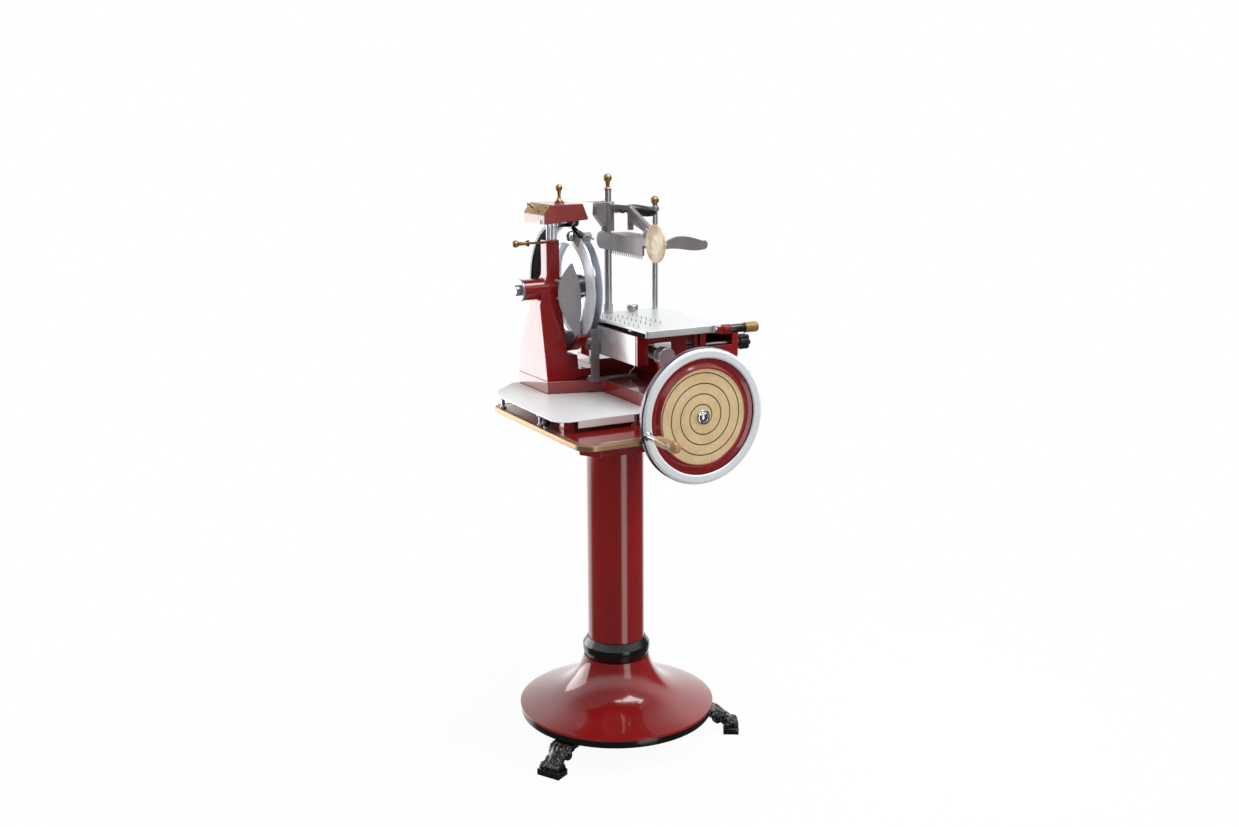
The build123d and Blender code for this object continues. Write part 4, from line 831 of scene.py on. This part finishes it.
# Slotted screws in the bracket's foot, and the acorn nut beside the tower.
screwHead = {"spots": ((104, 213), (138, 213)), "foot": 895,
             "profile": [(5.6, -0.2), (6, 0.3), (6, 1.2), (5.2, 1.7), (3.4, 1.95), (0.4, 2)]}
heads = []
for turn, (x, y) in zip((25, 70), screwHead["spots"]):
    head = stand(turnOut(screwHead["profile"], 32), (x, y, screwHead["foot"]))
    carve(head, [brokenBlock((x, y, screwHead["foot"] + 2), (14, 1.5, 1.8), (0, 0, turn), 0)])
    heads.append(head)
acornNut = {"place": (56, 246, 889), "hex": [(7, 0), (7, 4.6), (6.2, 5)],
            "dome": [(5.8, 4.8), (5.4, 7), (4.2, 8.8), (2.2, 9.8), (0.3, 10)]}
heads.append(stand(turnOut(acornNut["hex"], 6), acornNut["place"]))
heads.append(stand(turnOut(acornNut["dome"], 32), acornNut["place"]))
piece = settle(joined(heads), "machineScrews", "chrome", bodyOf["machine_screws"], 30)
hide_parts("machine_screws")

trayStud = {"spots": ((-176, 61), (-176, 292)), "foot": 825,
            "profile": [(8.6, 0), (9, 0.6), (9, 4), (8, 5), (4.6, 5.4), (4.4, 12), (5, 16), (4.4, 20),
                        (4.6, 23.6), (8, 24), (9, 25), (9, 28.4), (8.6, 29)]}
feet = []
for x, y in trayStud["spots"]:
    feet.append(stand(turnOut(trayStud["profile"], 40), (x, y, trayStud["foot"])))
trayKnob = {"place": (-176, 29, 838), "stem": [(6, -13), (6, -7.2), (4, -7), (4, 4)],
            "barrel": [(6.4, -7), (8.6, -6.6), (9.6, -4.5), (10, 0), (9.6, 4.5), (8.6, 6.6), (6.4, 7)]}
feet.append(stand(turnOut(trayKnob["stem"], 32), trayKnob["place"]))
piece = settle(joined(feet), "trayStuds", "chrome", bodyOf["tray_feet"])
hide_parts("tray_feet")
knob = turnOut(trayKnob["barrel"], 48)
flute(knob, -5, 5, 4, 0.8, 0.2)
stand(knob, trayKnob["place"], "Y")
settle(knob, "trayKnobBarrel", "bakelite", bodyOf["tray_feet"])
print("small fittings made")


# Hood: slots through the brass plate and the skirt, and a bright bolt with a ball end.
hoodPlate = {
    "centre": (-45, 341, 1333.5),
    "slope": 53.47,
    "slots": (((6, -48, 1), (5, 9, 8)), ((-8, -22, 1), (5, 10, 8))),
    "skirtSlot": ((-54, 300, 1302), (12, 5, 12)),
    "bolt": (4, 36, 0.4),
    "boltProfile": [(4.4, 0), (4.4, 11.6), (3.2, 12.2), (3.2, 12.6), (5.4, 13.4), (6, 15.4), (5.2, 17.4),
                    (3, 18.6), (0.3, 18.8)],
}
discHoles = (((102.5, -40, 1242), 2.2), ((102.5, -47, 1248), 1.8))
lean = Matrix.Rotation(math.radians(-hoodPlate["slope"]), 3, "Y")


def onHoodPlate(along, across, up):
    return tuple(Vector(hoodPlate["centre"]) + lean @ Vector((along, across, up)))


carve(shaped["hood_plate"], [brokenBlock(onHoodPlate(*spot), size, (0, -hoodPlate["slope"], 0), 0)
                             for spot, size in hoodPlate["slots"]])
carve(shaped["sharpener_hood"], [brokenBlock(*hoodPlate["skirtSlot"], edge=0)], "FAST")
bolt = turnOut(hoodPlate["boltProfile"], 32)
bolt.rotation_euler = (0, math.radians(-hoodPlate["slope"]), 0)
bolt.location = at(*onHoodPlate(*hoodPlate["bolt"]))
settle(bolt, "hoodBolt", "chrome", bodyOf["hood_plate"])
carve(shaped["clamp_disc"], [drill(spot, radius, 20, "X") for spot, radius in discHoles])
print("hood and clamp disc cut")


# Feet: lion paws on square soles, cast with leaves and scrolls.
# One foot is made along X: places, block sizes and radii in millimetres, turns in degrees.
pawFoot = {
    "angles": (-150, -30, 90),
    "voxel": 1.5,
    "sole": (298, 0, 8, 40, 64, 16),
    "blocks": (((297, 0, 20), (34, 54, 12), (0, 0, 0)), ((224, 0, 56), (64, 54, 14), (0, 0, 0)),
               ((252, 0, 50), (26, 46, 18), (0, 24, 0))),
    "leg": ((286, 0, 30, 15, 25, 13), (276, 0, 38, 15, 23, 15), (264, 0, 46, 17, 25, 14),
            (250, 0, 52, 22, 28, 10)),
    "toes": ((-21, 0.9), (-7.2, 1.0), (7.2, 1.0), (21, 0.9)),
    "leaves": ((-24, 268, 46, 30), (-13, 272, 49, 12), (0, 273, 50, 0), (13, 272, 49, -12),
               (24, 268, 46, -30)),
    "scrollRings": ((10, 3.4), (4.6, 2.6)),
    "scrollSpots": ((262, -24.5, 42), (262, 24.5, 42)),
    "cutLow": 0.4,
    "cutHigh": 63.2,
}


def swelling(place, size, turn=(0, 0, 0)):
    bpy.ops.mesh.primitive_uv_sphere_add(segments=20, ring_count=12, radius=1,
                                         scale=[value / 1000 for value in size],
                                         location=[value / 1000 for value in place],
                                         rotation=[math.radians(value) for value in turn])
    return bpy.context.object


def slab(place, size, turn=(0, 0, 0)):
    bpy.ops.mesh.primitive_cube_add(size=1, location=[value / 1000 for value in place],
                                    scale=[value / 1000 for value in size],
                                    rotation=[math.radians(value) for value in turn])
    return bpy.context.object


def toe(y, share):
    return [swelling((304, y, 23), (13 * share, 7.4, 9.5)),  # ball
            swelling((313.5, y * 1.02, 18.5), (4.2, 3.0, 5.5), (0, 20, 0)),  # claw
            swelling((290, y * 0.92, 33), (9, 5.6, 6.5), (0, 35, 0))]  # knuckle


def leaf(y, x, z, turn):
    return [swelling((x, y, z), (19, 4.2, 7.5), (0, 40, turn)),  # blade
            swelling((x - 15, y * 1.12, z + 7), (10, 5.2, 5), (0, 15, turn * 1.4))]  # curled tip


bpy.ops.object.select_all(action="DESELECT")
lumps = [slab(*block) for block in pawFoot["blocks"]]
for x, y, z, *size in pawFoot["leg"]:
    lumps.append(swelling((x, y, z), size))
for settings in pawFoot["toes"]:
    lumps.extend(toe(*settings))
for settings in pawFoot["leaves"]:
    lumps.extend(leaf(*settings))
for spot in pawFoot["scrollSpots"]:
    for radius, tube in pawFoot["scrollRings"]:
        bpy.ops.mesh.primitive_torus_add(major_radius=radius / 1000, minor_radius=tube / 1000,
                                         major_segments=28, minor_segments=10,
                                         location=[value / 1000 for value in spot],
                                         rotation=(math.radians(90), 0, 0))
        lumps.append(bpy.context.object)
paw = joined(lumps)
alone(paw)
bpy.ops.object.transform_apply(location=True, rotation=True, scale=True)
modifier(paw, "REMESH", mode="VOXEL", voxel_size=pawFoot["voxel"] / 1000)
modifier(paw, "SMOOTH", factor=0.5, iterations=2)
wrinkles = bpy.data.textures.new("castWrinkles", "MUSGRAVE")
wrinkles.noise_scale = 0.008
modifier(paw, "DISPLACE", texture=wrinkles, strength=0.0013, mid_level=0.5)
edit(paw)
bpy.ops.mesh.select_all(action="SELECT")
bpy.ops.mesh.bisect(plane_co=(0, 0, pawFoot["cutLow"] / 1000), plane_no=(0, 0, 1), use_fill=True,
                    clear_inner=True)
bpy.ops.mesh.select_all(action="SELECT")
bpy.ops.mesh.bisect(plane_co=(0, 0, pawFoot["cutHigh"] / 1000), plane_no=(0, 0, 1), use_fill=True,
                    clear_outer=True)
leave()
modifier(paw, "DECIMATE", ratio=0.45)
sole = slab(pawFoot["sole"][:3], pawFoot["sole"][3:])
alone(sole)
bpy.ops.object.transform_apply(location=True, rotation=True, scale=True)
modifier(sole, "BEVEL", width=0.0014, segments=2)
paw = joined([paw, sole])
for number, angle in enumerate(pawFoot["angles"]):
    foot = paw.copy()
    foot.data = paw.data.copy()
    bpy.context.scene.collection.objects.link(foot)
    foot.rotation_euler = (0, 0, math.radians(angle))
    foot.location = columnAxis
    settle(foot, "pawFoot%d" % (number + 1), "castBlackEnamel", bodyOf["pedestal_feet"], 60)
    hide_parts("pedestal_feet")
print("feet made, triangles each:", len(paw.data.polygons))
bpy.data.objects.remove(paw)
